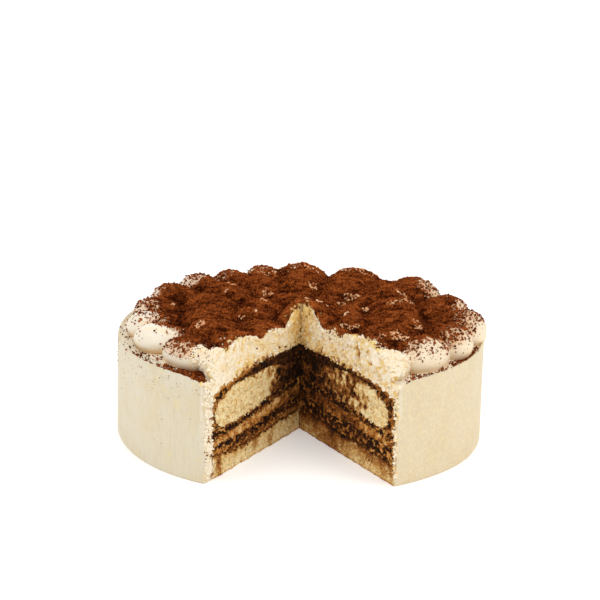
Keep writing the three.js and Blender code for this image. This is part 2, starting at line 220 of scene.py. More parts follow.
def along_stations(values, share):
    """A value from one for each station, at this share of the core radius."""
    for n in range(1, len(STATIONS)):
        if share <= STATIONS[n] or n == len(STATIONS) - 1:
            part = (share - STATIONS[n - 1]) / (STATIONS[n] - STATIONS[n - 1])
            return mix(values[n - 1], values[n], part)


def round_table(table, azimuth, column):
    """A value from rows of (azimuth, ...), smoothly between the rows."""
    for before, after in zip(table, table[1:]):
        if azimuth <= after[0]:
            return mix(before[column], after[column], ease(azimuth, before[0], after[0]))
    return table[-1][column]


# ---- The cake's form --------------------------------------------------------------------------------
def core_radius(azimuth):
    """Where the layers end and the coat begins."""
    return between(CORE_RADIUS, azimuth)


def top_of(name, radius, azimuth):
    """The height of a layer's top. Its unevenness dies out towards the axis."""
    share = radius / core_radius(azimuth)
    right, left = TOPS[name]
    height = between((along_stations(right, share), along_stations(left, share)), azimuth)
    if name == "floor":
        return height
    turn, phase = math.radians(azimuth), len(name) * 1.7
    wave = math.sin(5 * turn + phase + 3 * share) * 0.6 + math.sin(9 * turn - 2 * phase) * 0.4
    seed = 9 * len(name)
    ragged = 0.55 * lumps(radius, azimuth, seed, 4.5) + 0.3 * lumps(radius, azimuth, seed, 1.6)
    return height + (LAYER_WAVE * wave + ragged) * min(1, share * 2)


def deck_height(radius, azimuth):
    """The height of the cake under its dollops: the mound, the ledge and the lip."""
    mound = mix(MOUND, LEDGE, ease(radius, MOUND_EDGE, LEDGE_EDGE))
    lip = LIP_RISE * ease(radius, LIP_INNER, LIP_OUTER)
    away = min(azimuth - SLICE_START, SLICE_END - azimuth) / CORNER_REACH
    slump = CORNER_SLUMP * math.exp(-away * away)
    return mound + lip - slump * ease(radius, MOUND_EDGE, CAKE_RADIUS)


def finger_end(azimuth):
    """Where the ladyfingers' round ends begin, and the middle and half of their height there."""
    bend = core_radius(azimuth) - between(COCOA_END, azimuth) - END_BULGE
    low = top_of("coffee_upper", bend, azimuth)
    high = top_of("ladyfinger", core_radius(azimuth), azimuth)
    return bend, (low + high) / 2, (high - low) / 2


def finger_top(radius, azimuth, end):
    """The height of the ladyfingers' top, which comes down to their round ends."""
    bend, middle, half = end
    last = STATIONS[-2] * core_radius(azimuth)
    if radius <= last:
        return top_of("ladyfinger", radius, azimuth)
    return mix(top_of("ladyfinger", last, azimuth), middle + half, ease(radius, last, bend))


def flat_section(below, above):
    """The section of a layer that lies between two tops."""
    def section(u, w, azimuth):
        radius = u * core_radius(azimuth)
        return radius, mix(top_of(below, radius, azimuth), top_of(above, radius, azimuth), w)
    return section


FLAT_SHARE = 0.84  # the part of the ladyfingers' section before their round ends


def finger_section(u, w, azimuth):
    """The section of the ladyfingers: flat, and then a round end that stands out."""
    end = finger_end(azimuth)
    bend, middle, half = end
    if u <= FLAT_SHARE:
        radius = bend * u / FLAT_SHARE
        return radius, mix(top_of("coffee_upper", radius, azimuth), finger_top(radius, azimuth, end), w)
    turn = (u - FLAT_SHARE) / (1 - FLAT_SHARE) * math.pi / 2
    return bend + END_BULGE * math.sin(turn), middle + half * math.cos(turn) * (2 * w - 1)


WRAP_SHARE = 0.7  # the part of the cocoa's section that lies flat
SHOULDER_SHARE = 0.45  # the part of the rest that rounds the shoulder


def cocoa_section(u, w, azimuth):
    """The section of the cocoa, which wraps over the ladyfingers and round their ends."""
    end = finger_end(azimuth)
    bend, middle, half = end
    core = core_radius(azimuth)
    flat_end = core - SHOULDER_REACH
    if u <= WRAP_SHARE:
        inner_radius = bend * u / WRAP_SHARE
        outer_radius = flat_end * u / WRAP_SHARE
        inner = (inner_radius, finger_top(inner_radius, azimuth, end))
        outer = (outer_radius, top_of("cocoa", outer_radius, azimuth))
    else:
        part = (u - WRAP_SHARE) / (1 - WRAP_SHARE)
        inner = (bend + END_BULGE * math.sin(math.pi * part), middle + half * math.cos(math.pi * part))
        high = top_of("cocoa", flat_end, azimuth)
        low = top_of("coffee_upper", core, azimuth)
        if part <= SHOULDER_SHARE:
            turn = part / SHOULDER_SHARE * math.pi / 2
            outer = (flat_end + SHOULDER_REACH * math.sin(turn), high - SHOULDER_DROP * (1 - math.cos(turn)))
        else:
            outer = (core, mix(high - SHOULDER_DROP, low, (part - SHOULDER_SHARE) / (1 - SHOULDER_SHARE)))
    return mix(inner[0], outer[0], w), mix(inner[1], outer[1], w)


def cocoa_outside(radius, azimuth):
    """The height of the cocoa under the cream, with its rounded shoulder."""
    flat_end = core_radius(azimuth) - SHOULDER_REACH
    if radius <= flat_end:
        return top_of("cocoa", radius, azimuth)
    reach = min(1, (radius - flat_end) / SHOULDER_REACH)
    return top_of("cocoa", flat_end, azimuth) - SHOULDER_DROP * (1 - math.sqrt(1 - reach * reach))


# ---- How the cut faces crumble -----------------------------------------------------------------------
ROUGHNESS = {
    # how deep the lumps of 6, 2.3 and 1 mm are, and how far the layer lies back
    "sponge": (0.35, 0.38, 0.28, 0.0),
    "coffee": (0.45, 0.6, 0.5, 0.45),
    "cream": (0.8, 0.55, 0.30, 0.1),
    "coat": (0.5, 0.6, 0.4, 0.2),
}
TUFT_DEPTH = (1.0, 0.35)  # of the tufts that the knife pulls out of the cream at each cut
CALM_RADIUS = 8  # the tip of the slice stays a clean line

# The upright folds that the knife has torn into the cream at the top of a cut: at each cut the radii
# they lie between, how wide and how deep they are.
FOLDS = ((42, 83, 15.5, 2.4), (56, 92, 9.0, 0.5))
FOLD_FOOT = (54, 59)  # heights between which they come out of the cream below
FOLD_LEAN = 0.3
CREASE_WIDTH = 1.0


def fold(radius, height, side):
    """How far a fold stands out, and how deep in a crease between two folds a spot lies: 0 to 1."""
    start, end, width, depth = FOLDS[side]
    along = ease(radius, start, start + 5) * (1 - ease(radius, end - 5, end)) * ease(height, *FOLD_FOOT)
    leaning = radius + FOLD_LEAN * (height - MOUND) + 1.6 * lumps(radius, height / 2, 31 + side, 5)
    turned = leaning / width
    away = abs(turned - round(turned)) * width
    crease = math.exp(-(away / CREASE_WIDTH) ** 2)
    return depth * along * (0.5 - 1.5 * crease + 0.6 * scatter(round(turned + 0.5))), along * crease


def crumble(radius, height, side, kind):
    """How far a spot of a cut face stands out of its plane."""
    large, middle, small, back = ROUGHNESS[kind]
    out = large * lumps(radius, height, 50 * side, 6.0)
    out += middle * lumps(radius, height, 50 * side + 9, 2.3)
    out += small * lumps(radius, height, 50 * side + 18, 1.0)
    if kind == "cream":
        tufts = 0.6 - 2 * abs(lumps(radius, height / 1.5, 50 * side + 27, 3.0))
        out += TUFT_DEPTH[side] * tufts + fold(radius, height, side)[0]
    return (out - back) * ease(radius, 0, CALM_RADIUS)


def out_of_cut(side):
    """The way out of a cut face, into the gap: side 0 is the right-hand cut and side 1 the left-hand one."""
    turn = math.radians(CUTS[side])
    way = Vector((math.cos(turn), math.sin(turn), 0))
    return way if side else -way


def nearer_cut(azimuth):
    """The side whose cut lies nearer."""
    return 0 if azimuth < 180 else 1


OUT_OF_CUT = (out_of_cut(0), out_of_cut(1))
AT_END = 1e-4  # shares this close to 0 or 1 are the ends themselves


def cut_at(t):
    """Which cut lies at this share of the way round: 0, 1, or None between the two."""
    if t < AT_END:
        return 0
    return 1 if t > 1 - AT_END else None


# ---- Pieces ------------------------------------------------------------------------------------------
SAME_SPOT = 1e-6  # vertices closer than this, in metres, become one


def bar(across, tiers, turns):
    """A closed bar of even faces: x runs across its section, z up it and y along it, all from 0 to 1."""
    bm = bmesh.new()
    bmesh.ops.create_grid(bm, x_segments=across, y_segments=tiers, size=0.5)
    stand = Matrix(((1, 0, 0, 0.5), (0, 0, 1, 0), (0, 1, 0, 0.5), (0, 0, 0, 1)))
    bmesh.ops.transform(bm, matrix=stand, verts=bm.verts)
    whole = [*bm.verts, *bm.edges, *bm.faces]
    step = Vector((0, 1 / turns, 0))
    bmesh.ops.spin(bm, geom=whole, cent=(0, 0, 0), axis=(0, 0, 1), dvec=step, angle=0, steps=turns)
    return bm


def bend_round(bm, section, kind):
    """Bends a bar round the cake, and lets its two cut ends crumble. Returns what each vertex came from."""
    sources = []
    for v in bm.verts:
        u, t, w = (min(1.0, max(0.0, c)) for c in v.co)
        azimuth = mix(*CUTS, t)
        radius, height = section(u, w, azimuth)
        v.co = at(radius, azimuth, height)
        side = cut_at(t)
        if side is not None:
            v.co += OUT_OF_CUT[side] * MM * crumble(radius, height, side, kind)
        sources.append((u, w, side, radius, height, azimuth))
    return sources


def in_scene(name, data):
    """An object of the scene with this data."""
    thing = bpy.data.objects.new(name, data)
    bpy.context.scene.collection.objects.link(thing)
    return thing


def shape_of(bm, name):
    """An object of the scene made of a bmesh, which is used up."""
    mesh = bpy.data.meshes.new(name)
    bm.to_mesh(mesh)
    bm.free()
    return in_scene(name, mesh)


def hand_over(bm, name, material, nodes):
    """Makes a piece of a bmesh, faces outwards, hangs it on the root body and hides the parts it stands for.
    """
    bmesh.ops.recalc_face_normals(bm, faces=bm.faces)
    if bm.calc_volume(signed=True) < 0:
        bmesh.ops.reverse_faces(bm, faces=bm.faces)
    for face in bm.faces:
        face.smooth = True
    piece = shape_of(bm, name)
    piece.data.materials.append(material)
    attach(piece, "root")
    if nodes:
        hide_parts(*nodes)
    return piece


# ---- Finishes ----------------------------------------------------------------------------------------
class Value:
    """A number or colour that a finish works out. Python's operators on it add Math nodes."""

    def __init__(self, finish, socket):
        self.finish, self.socket = finish, socket

    def __add__(self, other):
        return self.finish.maths("ADD", self, other)

    def __sub__(self, other):
        return self.finish.maths("SUBTRACT", self, other)

    def __rsub__(self, other):
        return self.finish.maths("SUBTRACT", other, self)

    def __mul__(self, other):
        return self.finish.maths("MULTIPLY", self, other)

    def __lt__(self, other):
        return self.finish.maths("LESS_THAN", self, other)


class Finish:
    """A material and the nodes that work out its colour, roughness and bumps."""

    def __init__(self, name, **constants):
        self.material = bpy.data.materials.new(name)
        self.material.use_nodes = True
        self.tree = self.material.node_tree
        self.surface = self.tree.nodes["Principled BSDF"]
        for socket, value in constants.items():
            self.surface.inputs[socket.replace("_", " ")].default_value = value
        self.place = self.node("TexCoord", output="Object")

    def node(self, kind, settings=(), sockets=(), output=0):
        """Adds a node of this type, with its settings first, and gives one of its outputs."""
        made = self.tree.nodes.new("ShaderNode" + kind)
        for name, value in dict(settings).items():
            if name == "stops":
                self.set_stops(made.color_ramp, value)
            else:
                setattr(made, name, value)
        for name, value in dict(sockets).items():
            self.plug(value, made.inputs[name])
        return Value(self, made.outputs[output])

    def plug(self, value, socket):
        """Links a worked-out value to a socket, or sets the socket to a plain one."""
        if isinstance(value, Value):
            self.tree.links.new(value.socket, socket)
        elif isinstance(value, tuple) and len(value) == 3 and socket.type == "RGBA":
            socket.default_value = (*value, 1)
        else:
            socket.default_value = value

    @staticmethod
    def set_stops(ramp, stops):
        """Gives a colour ramp these pairs of position and colour."""
        while len(ramp.elements) < len(stops):
            ramp.elements.new(1)
        for element, (position, colour) in zip(ramp.elements, stops):
            element.position = position
            element.color = (*colour, 1)

    def maths(self, operation, *values):
        """A Math node on one or two values."""
        return self.node("Math", {"operation": operation}, enumerate(values))

    def step(self, value, low, high):
        """0 where the value is under low, 1 over high, and smooth between."""
        sockets = {"Value": value, "From Min": low, "From Max": high}
        return self.node("MapRange", {"interpolation_type": "SMOOTHSTEP"}, sockets)

    def blend(self, share, first, second):
        """The colour that lies this share of the way from the first to the second."""
        return self.node("Mix", {"data_type": "RGBA"}, {0: share, 6: first, 7: second}, output=2)

    def lumps(self, size, detail=2.0, stretch=None):
        """Noise from 0 to 1, in lumps of this size in millimetres."""
        place = self.place
        if stretch:
            place = self.node("Mapping", sockets={"Vector": place, "Scale": stretch})
        sockets = {"Vector": place, "Scale": 1 / (size * MM), "Detail": detail, "Roughness": 0.6}
        return self.node("TexNoise", sockets=sockets)

    def ramp(self, value, *stops):
        """The colour that a value has on a ramp of pairs of position and colour."""
        return self.node("ValToRGB", {"stops": stops}, {"Fac": value})

    def attribute(self, name):
        """What the piece's vertices say under this name."""
        return self.node("Attribute", {"attribute_name": name}, output="Fac")

    def bumps(self, height, depth, under=None):
        """Bumps of this depth in millimetres, on top of others."""
        sockets = {"Height": height, "Distance": depth * MM, "Strength": 1.0}
        if under:
            sockets["Normal"] = under
        return self.node("Bump", sockets=sockets)

    def show(self, **links):
        """Puts the finished values on the surface, and gives the material."""
        for socket, value in links.items():
            self.plug(value, self.surface.inputs[socket.replace("_", " ")])
        return self.material


COCOA_DARK = (0.032, 0.0050, 0.0008)
COCOA_MIDDLE = (0.160, 0.0300, 0.0045)
COCOA_LIGHT = (0.440, 0.1150, 0.0230)
PALE_CREAM = (0.855, 0.775, 0.640)
YELLOW_CREAM = (0.850, 0.710, 0.490)
# The piped cream's golden side, partly painted warm light from the right.
GOLDEN_AND_WARM_LIT_CREAM = (0.850, 0.695, 0.490)
# Painted shade: the warmer, darker yellow painted where the cream faces down, for the shade and warm bounce
# light under the dollops.
UNDERSIDE_SHADE_CREAM = (0.880, 0.640, 0.360)
TORN_CREAM = (0.940, 0.840, 0.675)
BUTTER_CREAM = (0.900, 0.725, 0.430)
DEEP_CREAM = (0.900, 0.640, 0.225)
TORN_STAINS = (  # from lightly soaked to black
    (0.44, (0.540, 0.260, 0.090)), (0.64, (0.200, 0.070, 0.020)), (0.9, (0.045, 0.016, 0.006)),
)
COAT_COOL = ((0.700, 0.630, 0.490), (0.690, 0.590, 0.410))  # at the left-hand side, in two patches
COAT_GOLDEN_AND_WARM_LIT = ((0.690, 0.580, 0.405), (0.675, 0.545, 0.350))  # and at the right-hand side, partly painted warm light
COAT_STREAK = (0.600, 0.510, 0.340)
COAT_VEIN = (0.860, 0.740, 0.450)
COAT_SPOT = (0.750, 0.620, 0.330)
# Painted shade of the coat's rough torn edge.
SHADED_COAT_EDGE = (0.620, 0.555, 0.440)
COCOA_FILM = (0.660, 0.290, 0.075)
# Painted shade in the sponge's pores.
PORE_SHADE = (0.300, 0.150, 0.045)
FLECK_COLOURS = ((0.940, 0.640, 0.380), (0.760, 0.330, 0.120))  # with the least cocoa and with the most
FIBRE_STRETCH = (1, 1, 0.6)
DRIFT_STRETCH = (0.5, 1, 1)  # the sieve was shaken from side to side, so the drifts are twice as wide


def cocoa_ramp(finish, tone):
    """The brown of cocoa of this tone, from 0 for the darkest to 1."""
    return finish.ramp(tone, (0.12, COCOA_DARK), (0.5, COCOA_MIDDLE), (0.95, COCOA_LIGHT))


def cocoa_finish(name):
    """Sifted cocoa: grains of several browns, lighter and darker in drifts, with the painted light and shade
    of its tone, painted highlights along thin threads and painted shadows in thin gaps.
    """
    finish = Finish(name, Roughness=1.0, Specular_IOR_Level=0.04)
    tone = finish.attribute("tone")
    clumps = finish.lumps(1.6, 3.0, stretch=DRIFT_STRETCH)
    grains = finish.lumps(0.5, 1.0)
    # Painted highlights along thin threads and painted shadows in thin gaps, like lit ridges of powder and
    # the shaded grooves between them.
    highlight_threads = finish.maths("ABSOLUTE", finish.lumps(2.6, 3.0, stretch=DRIFT_STRETCH) - 0.5)
    shadow_gaps = finish.maths("ABSOLUTE", finish.lumps(2.0, 3.0, stretch=(0.4, 1, 1)) - 0.48)
    painted_light_lines = finish.step(highlight_threads, 0.035, 0.0) * 0.26 - finish.step(shadow_gaps, 0.03, 0.0) * 0.26
    colour = cocoa_ramp(finish, tone + (grains - 0.5) * 1.7 + (clumps - 0.5) * 1.2 + painted_light_lines)
    return finish.show(Base_Color=colour, Normal=finish.bumps(finish.lumps(0.6, 2.0), 0.4))


def specks(finish, dust, size):
    """Single specks of cocoa about this size apart: more of them where there is more dust."""
    sockets = {"Vector": finish.place, "Scale": 1 / (size * MM)}
    cells = finish.node("TexVoronoi", {"feature": "F1"}, sockets)
    lot = Value(finish, cells.socket.node.outputs["Color"])
    drawn = finish.node("SeparateColor", sockets={"Color": lot})
    girth = Value(finish, drawn.socket.node.outputs["Green"])
    return (drawn < dust) * (cells < girth * 0.35 + 0.25)


def powdered(finish, under, powder):
    """A colour with powder lying on it, in grains of several browns."""
    tone = finish.lumps(0.55, 1.0) * 0.7 + 0.15
    return finish.blend(powder, under, cocoa_ramp(finish, tone))


def powder_cover(finish, dust):
    """Where so much cocoa lies that it has closed, with a ragged edge."""
    return finish.step(dust + finish.lumps(2.0, 2.0) * 0.5 - 0.25, 0.6, 0.82)


def torn_colour(finish, soak):
    """Torn cream: pale and yellow in lumps, tinted by the coffee it touches, and more golden where painted
    shade lies in its hollows, creases and fringe.
    """
    fibres = finish.lumps(0.9, 2.0, stretch=FIBRE_STRETCH)
    soaked = soak + (fibres - 0.5) * 0.40 + (finish.lumps(6.0, 3.0) - 0.5) * 0.30
    return finish.ramp(
        soaked, (0.0, TORN_CREAM), (0.15, BUTTER_CREAM), (0.28, DEEP_CREAM), *TORN_STAINS
    )


def dusted_cream(name):
    """Piped cream under sifted cocoa: bare, filmed over or covered, and torn beside the cuts, with painted
    shade on its undersides and partly painted warm light on its golden side.
    """
    finish = Finish(name, Specular_IOR_Level=0.3)
    dust = finish.attribute("dust")
    torn = finish.attribute("torn")
    uneven = dust + finish.lumps(2.2, 2.0) * 0.5 - 0.25
    cover = finish.step(uneven, 0.62, 0.82)
    film = finish.step(uneven, 0.12, 0.62) * 0.60
    upper = finish.blend(finish.step(finish.lumps(9.0, 3.0), 0.42, 0.75), PALE_CREAM, YELLOW_CREAM)
    # The golden right-hand side is partly painted warm light.
    warmed = finish.blend(finish.attribute("warm") * 0.8, upper, GOLDEN_AND_WARM_LIT_CREAM)
    # Painted shade: where the cream faces down it is painted a warmer, darker yellow.
    bare = finish.blend(finish.attribute("under"), warmed, UNDERSIDE_SHADE_CREAM)
    rough = finish.blend(torn, bare, torn_colour(finish, finish.attribute("soak")))
    filmed = finish.blend(film, rough, COCOA_FILM)
    powder = finish.maths("MAXIMUM", cover, specks(finish, dust * 0.8, 0.8))
    colour = powdered(finish, filmed, powder)
    soft = finish.bumps(finish.lumps(3.0, 2.0), 0.25)
    ragged = finish.bumps(finish.lumps(1.4, 3.0) * torn, 0.8, soft)
    powdery = finish.bumps(finish.lumps(0.7, 2.0) * powder, 0.6, ragged)
    return finish.show(Base_Color=colour, Roughness=powder * 0.4 + 0.55, Normal=powdery)


def coat_finish():
    """The side's smoothed cream, with the fine upright marks of the scraper and a few specks; golden and
    partly painted warm-lit on the right-hand side, and with painted shade on its torn edge.
    """
    finish = Finish("smoothed_cream", Specular_IOR_Level=0.25)
    dust = finish.attribute("dust")
    soak = finish.attribute("soak")
    warm = finish.attribute("warm")
    torn = finish.attribute("torn")
    upright = finish.lumps(1.1, 4.0, stretch=(1, 1, 0.12))
    patches = finish.step(finish.lumps(16.0, 4.0), 0.35, 0.7)
    cool = finish.blend(patches, *COAT_COOL)
    golden = finish.blend(patches, *COAT_GOLDEN_AND_WARM_LIT)
    # The golden right-hand side is partly painted warm light.
    base = finish.blend(warm, cool, golden)
    streaks = finish.step(upright, 0.42, 0.75) * (0.50 - warm * 0.36)
    streaked = finish.blend(streaks, base, COAT_STREAK)
    ridges = finish.lumps(3.2, 3.0)
    veins = finish.step(finish.maths("ABSOLUTE", ridges - 0.5), 0.05, 0.0) * warm * 0.4
    veined = finish.blend(veins, streaked, COAT_VEIN)
    spots = finish.step(finish.lumps(5.0, 3.0), 0.56, 0.76) * 0.6
    spotted = finish.blend(spots, veined, COAT_SPOT)
    # The torn edge is half this greyer, darker cream: painted shade of its rough crumb.
    edge = finish.blend(0.5, torn_colour(finish, soak), SHADED_COAT_EDGE)
    ragged = finish.blend(torn, spotted, edge)
    powder = powder_cover(finish, dust)
    colour = powdered(finish, ragged, powder)
    broad = finish.bumps(patches, 0.3)
    fine = finish.bumps(ridges * warm, 0.35, finish.bumps(upright, 0.12, broad))
    rough = finish.bumps(finish.lumps(2.0, 3.0) * torn, 0.7, fine)
    return finish.show(Base_Color=colour, Roughness=powder * 0.4 + 0.55, Normal=rough)


SOAKED = (  # sponge and crumb full of coffee, up to black
    (0.54, (0.305, 0.099, 0.017)), (0.78, (0.085, 0.025, 0.005)), (1.0, (0.014, 0.006, 0.003)),
)


def crumb_finish(name, pale, golden, stained):
    """A cut face of sponge: crumb with pores painted darker as shade in their holes, coloured by how much
    coffee it has soaked up.
    """
    finish = Finish(name, Specular_IOR_Level=0.12)
    soak = finish.attribute("soak")
    fine = finish.lumps(0.9, 3.0)
    mottled = finish.lumps(2.8, 2.0)
    soaked = soak + (fine - 0.5) * 0.65 + (mottled - 0.5) * 0.45
    colour = finish.ramp(soaked, (0.0, pale), (0.17, golden), (0.34, stained), *SOAKED)
    pores = finish.step(finish.lumps(1.2, 1.5), 0.56, 0.72)
    # Painted shade: the pores are painted darker.
    shaded = finish.blend(pores * 0.15, colour, PORE_SHADE)
    rough = finish.bumps(fine, 0.6, finish.bumps(pores * -1.0, 0.5))
    return finish.show(Base_Color=shaded, Roughness=0.95 - fine * 0.1, Normal=rough)


def torn_finish():
    """Cream where the knife has torn it, soft and full of short fibres."""
    finish = Finish("torn_cream", Specular_IOR_Level=0.15)
    cream = torn_colour(finish, finish.attribute("soak"))
    colour = powdered(finish, cream, powder_cover(finish, finish.attribute("dust")))
    fibres = finish.bumps(finish.lumps(1.1, 3.0, stretch=FIBRE_STRETCH), 0.45)
    return finish.show(Base_Color=colour, Roughness=0.75, Normal=fibres)


def fleck_finish():
    """Small peaks of cream between the grains, warmed by the cocoa on them."""
    finish = Finish("cream_fleck", Specular_IOR_Level=0.2, Roughness=0.7)
    return finish.show(Base_Color=finish.blend(finish.attribute("dust"), *FLECK_COLOURS))


# The colours of crumb that is dry, a little moist and half soaked.
SPONGE_COLOURS = ((0.935, 0.785, 0.465), (0.845, 0.580, 0.225), (0.530, 0.255, 0.066))
COFFEE_COLOURS = ((0.760, 0.420, 0.125), (0.630, 0.285, 0.064), (0.570, 0.225, 0.042))
MARBLED_COLOURS = ((0.890, 0.610, 0.280), (0.710, 0.380, 0.108), (0.580, 0.235, 0.045))
FINISHES = {
    "sponge": crumb_finish("sponge_crumb", *SPONGE_COLOURS),
    "coffee": crumb_finish("coffee_crumb", *COFFEE_COLOURS),
    "coffee_cream": crumb_finish("marbled_coffee_cream", *MARBLED_COLOURS),
    "cream": torn_finish(),
    "flecks": fleck_finish(),
    "coat": coat_finish(),
    "piped": dusted_cream("dusted_piped_cream"),
    "cocoa": cocoa_finish("sifted_cocoa"),
}


# ---- Dollops -----------------------------------------------------------------------------------------
def sizes_of(ring):
    """The dollops of a ring, each filling the room between its neighbours and a little uneven."""
    spots = ring["spots"]
    for n, (azimuth, centre, lower, squeeze) in enumerate(spots):
        before, after = spots[max(n - 1, 0)][0], spots[min(n + 1, len(spots) - 1)][0]
        neighbours = 1 if n in (0, len(spots) - 1) else 2
        room = math.radians((after - before) / neighbours) * centre
        yield {
            "azimuth": azimuth, "centre": centre, "fat": ring["fat"], "base": ring["base"],
            "width": min(room * squeeze, WIDEST_DOLLOP),
            "height": ring["height"] * (1 + UNEVEN_SIZE * scatter(azimuth)) - lower,
            "tail": ring["tail"] * (1 + UNEVEN_SIZE * scatter(azimuth + 1)),
        }


def piped(sizes, fineness):
    """A piped dollop: a ball drawn out into a fat round end and a tapering tail."""
    bm = bmesh.new()
    bmesh.ops.create_uvsphere(bm, u_segments=3 * fineness, v_segments=2 * fineness, radius=1)
    azimuth = sizes["azimuth"]
    sideways = at(1, azimuth + 90, 0) - at(0, 0, 0)
    for v in bm.verts:
        side, up, out = v.co
        taper = 1 - TAIL_TAPER * (-out) ** TAIL_POWER if out < 0 else 1
        along = out * (sizes["fat"] if out > 0 else sizes["tail"])
        spot = at(sizes["centre"] + along, azimuth, sizes["base"] + up * sizes["height"] * taper)
        v.co = spot + sideways * (side * sizes["width"] / 2 * taper)
    return bm


def centre_blob(fineness):
    """The last dollop, in the middle: a turned outline whose tip leans over."""
    bm = bmesh.new()
    corners = [bm.verts.new((MM * r, 0, MM * z)) for r, z in CENTRE_OUTLINE]
    edges = [bm.edges.new(pair) for pair in zip(corners, corners[1:])]
    bmesh.ops.subdivide_edges(bm, edges=edges, cuts=3)
    whole = [*bm.verts, *bm.edges]
    bmesh.ops.spin(
        bm, geom=whole, cent=(0, 0, 0), axis=(0, 0, 1), dvec=(0, 0, 0), angle=math.tau,
        steps=3 * fineness, use_merge=True,
    )
    bmesh.ops.remove_doubles(bm, verts=bm.verts, dist=SAME_SPOT)
    bmesh.ops.smooth_vert(bm, verts=bm.verts, factor=0.5, use_axis_x=True, use_axis_y=True, use_axis_z=True)
    x, y = CENTRE_SPOT
    tallest = CENTRE_OUTLINE[-1][1] * MM
    for v in bm.verts:
        lean = CENTRE_LEAN * max(0.0, v.co.z / tallest) ** 2
        v.co += Vector((AXIS.x + MM * (x + lean), AXIS.y + MM * y, MM * MOUND))
    return bm


def slice_block():
    """The slice that is gone, as a block to cut with."""
    bm = bmesh.new()
    corners = [at(0, 0, 0), at(2 * CAKE_RADIUS, SLICE_END, 0), at(2 * CAKE_RADIUS, SLICE_START, 0)]
    face = bm.faces.new([bm.verts.new(corner) for corner in corners])
    risen = bmesh.ops.extrude_face_region(bm, geom=[face])["geom"]
    lift = [v for v in risen if isinstance(v, bmesh.types.BMVert)]
    bmesh.ops.translate(bm, verts=lift, vec=(0, 0, 2 * CAKE_RADIUS * MM))
    bmesh.ops.recalc_face_normals(bm, faces=bm.faces)
    return shape_of(bm, "slice")


SLICE = slice_block()
EVEN_FACE = 0.6 * MM
YIELDING = 6.5  # the cream gives way under the knife to this depth, more and more towards the cut
SET_BACK = (1.4, 0.5)  # how far the cut dollops lie behind the torn cream, further in and at the rim
RIM_RADII = (76, 84)  # radii between which the one changes into the other
SLUMP = (4.5, 0)  # near the rim the tops of the cut dollops have sunk this far, at each cut
SLUMP_RADII = (74, 88)  # radii between which that sets in
SLUMP_DEPTHS = (4, 14)  # depths behind the cut between which it dies out
SLUMP_RISE = 10  # it grows over this height above the ledge
CORNER, CORNER_BACK = 7.0, 2.2  # this near the axis both cuts are close, so the cream lies further back


def in_slice(spot):
    """How far a point lies inside the gap of the slice; negative outside."""
    return min((spot - at(0, 0, 0)).dot(out) for out in OUT_OF_CUT)


def cut_open(bm, name):
    """Takes the slice out of a dollop, with even faces, and lets the cut crumble like the cream below."""
    rough = shape_of(bm, name)
    cut = rough.modifiers.new("slice", "BOOLEAN")
    cut.operation = "DIFFERENCE"
    cut.object = SLICE
    cut.solver = "EXACT"
    even = rough.modifiers.new("even faces", "REMESH")
    even.mode = "VOXEL"
    even.voxel_size = EVEN_FACE
    shown = bpy.context.evaluated_depsgraph_get()
    bm = bmesh.new()
    bm.from_object(rough, shown)
    bpy.data.objects.remove(rough)
    for v in bm.verts:
        radius, azimuth, height = where(v.co)
        in_corner = 1 - ease(radius, 0, CORNER)
        side = nearer_cut(azimuth)
        depth = (v.co - at(0, 0, 0)).dot(OUT_OF_CUT[side]) / MM
        if azimuth < 90 or azimuth > 270:
            near = 1 - ease(-depth, 0, YIELDING)
            back = mix(*SET_BACK, ease(radius, *RIM_RADII))
            shift = crumble(radius, height, side, "cream") - back
            v.co += OUT_OF_CUT[side] * (MM * shift * near * (1 - in_corner))
            sunk = SLUMP[side] * ease(radius, *SLUMP_RADII) * (1 - ease(-depth, *SLUMP_DEPTHS))
            v.co.z -= MM * sunk * ease(height, LEDGE, LEDGE + SLUMP_RISE)
        v.co.y += MM * CORNER_BACK * in_corner
    return bm


def dusting(radius, azimuth):
    """How much cocoa lies on the piped cream: 1 covers it."""
    full, bare = round_table(DUSTING, azimuth, 1), round_table(DUSTING, azimuth, 2)
    x, y = offsets(radius, azimuth)
    drift = 4 * lumps(x, y, 5, 9) + 2 * lumps(x, y, 9, 3.5)
    return mix(1, SPARSE, ease(radius + drift, full, bare))


TORN_FOOT = 0.8  # how far the torn cream goes round the side at its foot
TORN_SIDE = (2.0, 2.4)  # and how much further at its top, at each cut
TORN_PIPING = 6.0  # which is this many times as much in the dollops


def torn_by_knife(radius, azimuth, height, further=1):
    """How much the knife has torn the outside of the cream beside the cuts: 1 right at them."""
    reach = TORN_SIDE[nearer_cut(azimuth)] * further * ease(height, 0, LEDGE) + TORN_FOOT
    away = min(azimuth - SLICE_START, SLICE_END - azimuth) * math.radians(radius)
    ragged = 1 + 0.35 * lumps(azimuth, height, 3, 4.0) + 0.2 * lumps(azimuth, height, 7, 1.5)
    return 1 - ease(away, 0.6 * reach * ragged, 1.1 * reach * ragged)


COOLS_DOWN = (150, 230)  # azimuths at the back between which the golden, partly painted warm-lit side turns into the cool one


def golden_side_and_warm_light(azimuth):
    """The cream is a cool cream on the left-hand side and a golden one on the right-hand side, which is
    partly painted warm light falling from the right.
    """
    return 1 - ease(azimuth, *COOLS_DOWN)


TIP_GOLD = 0.22  # how golden the cream is where the cuts meet, on the scale of the coffee


def tip_gold(radius):
    """How golden the cream is at this radius: only near the tip of the slice."""
    return TIP_GOLD * (1 - ease(radius, 4, 17))


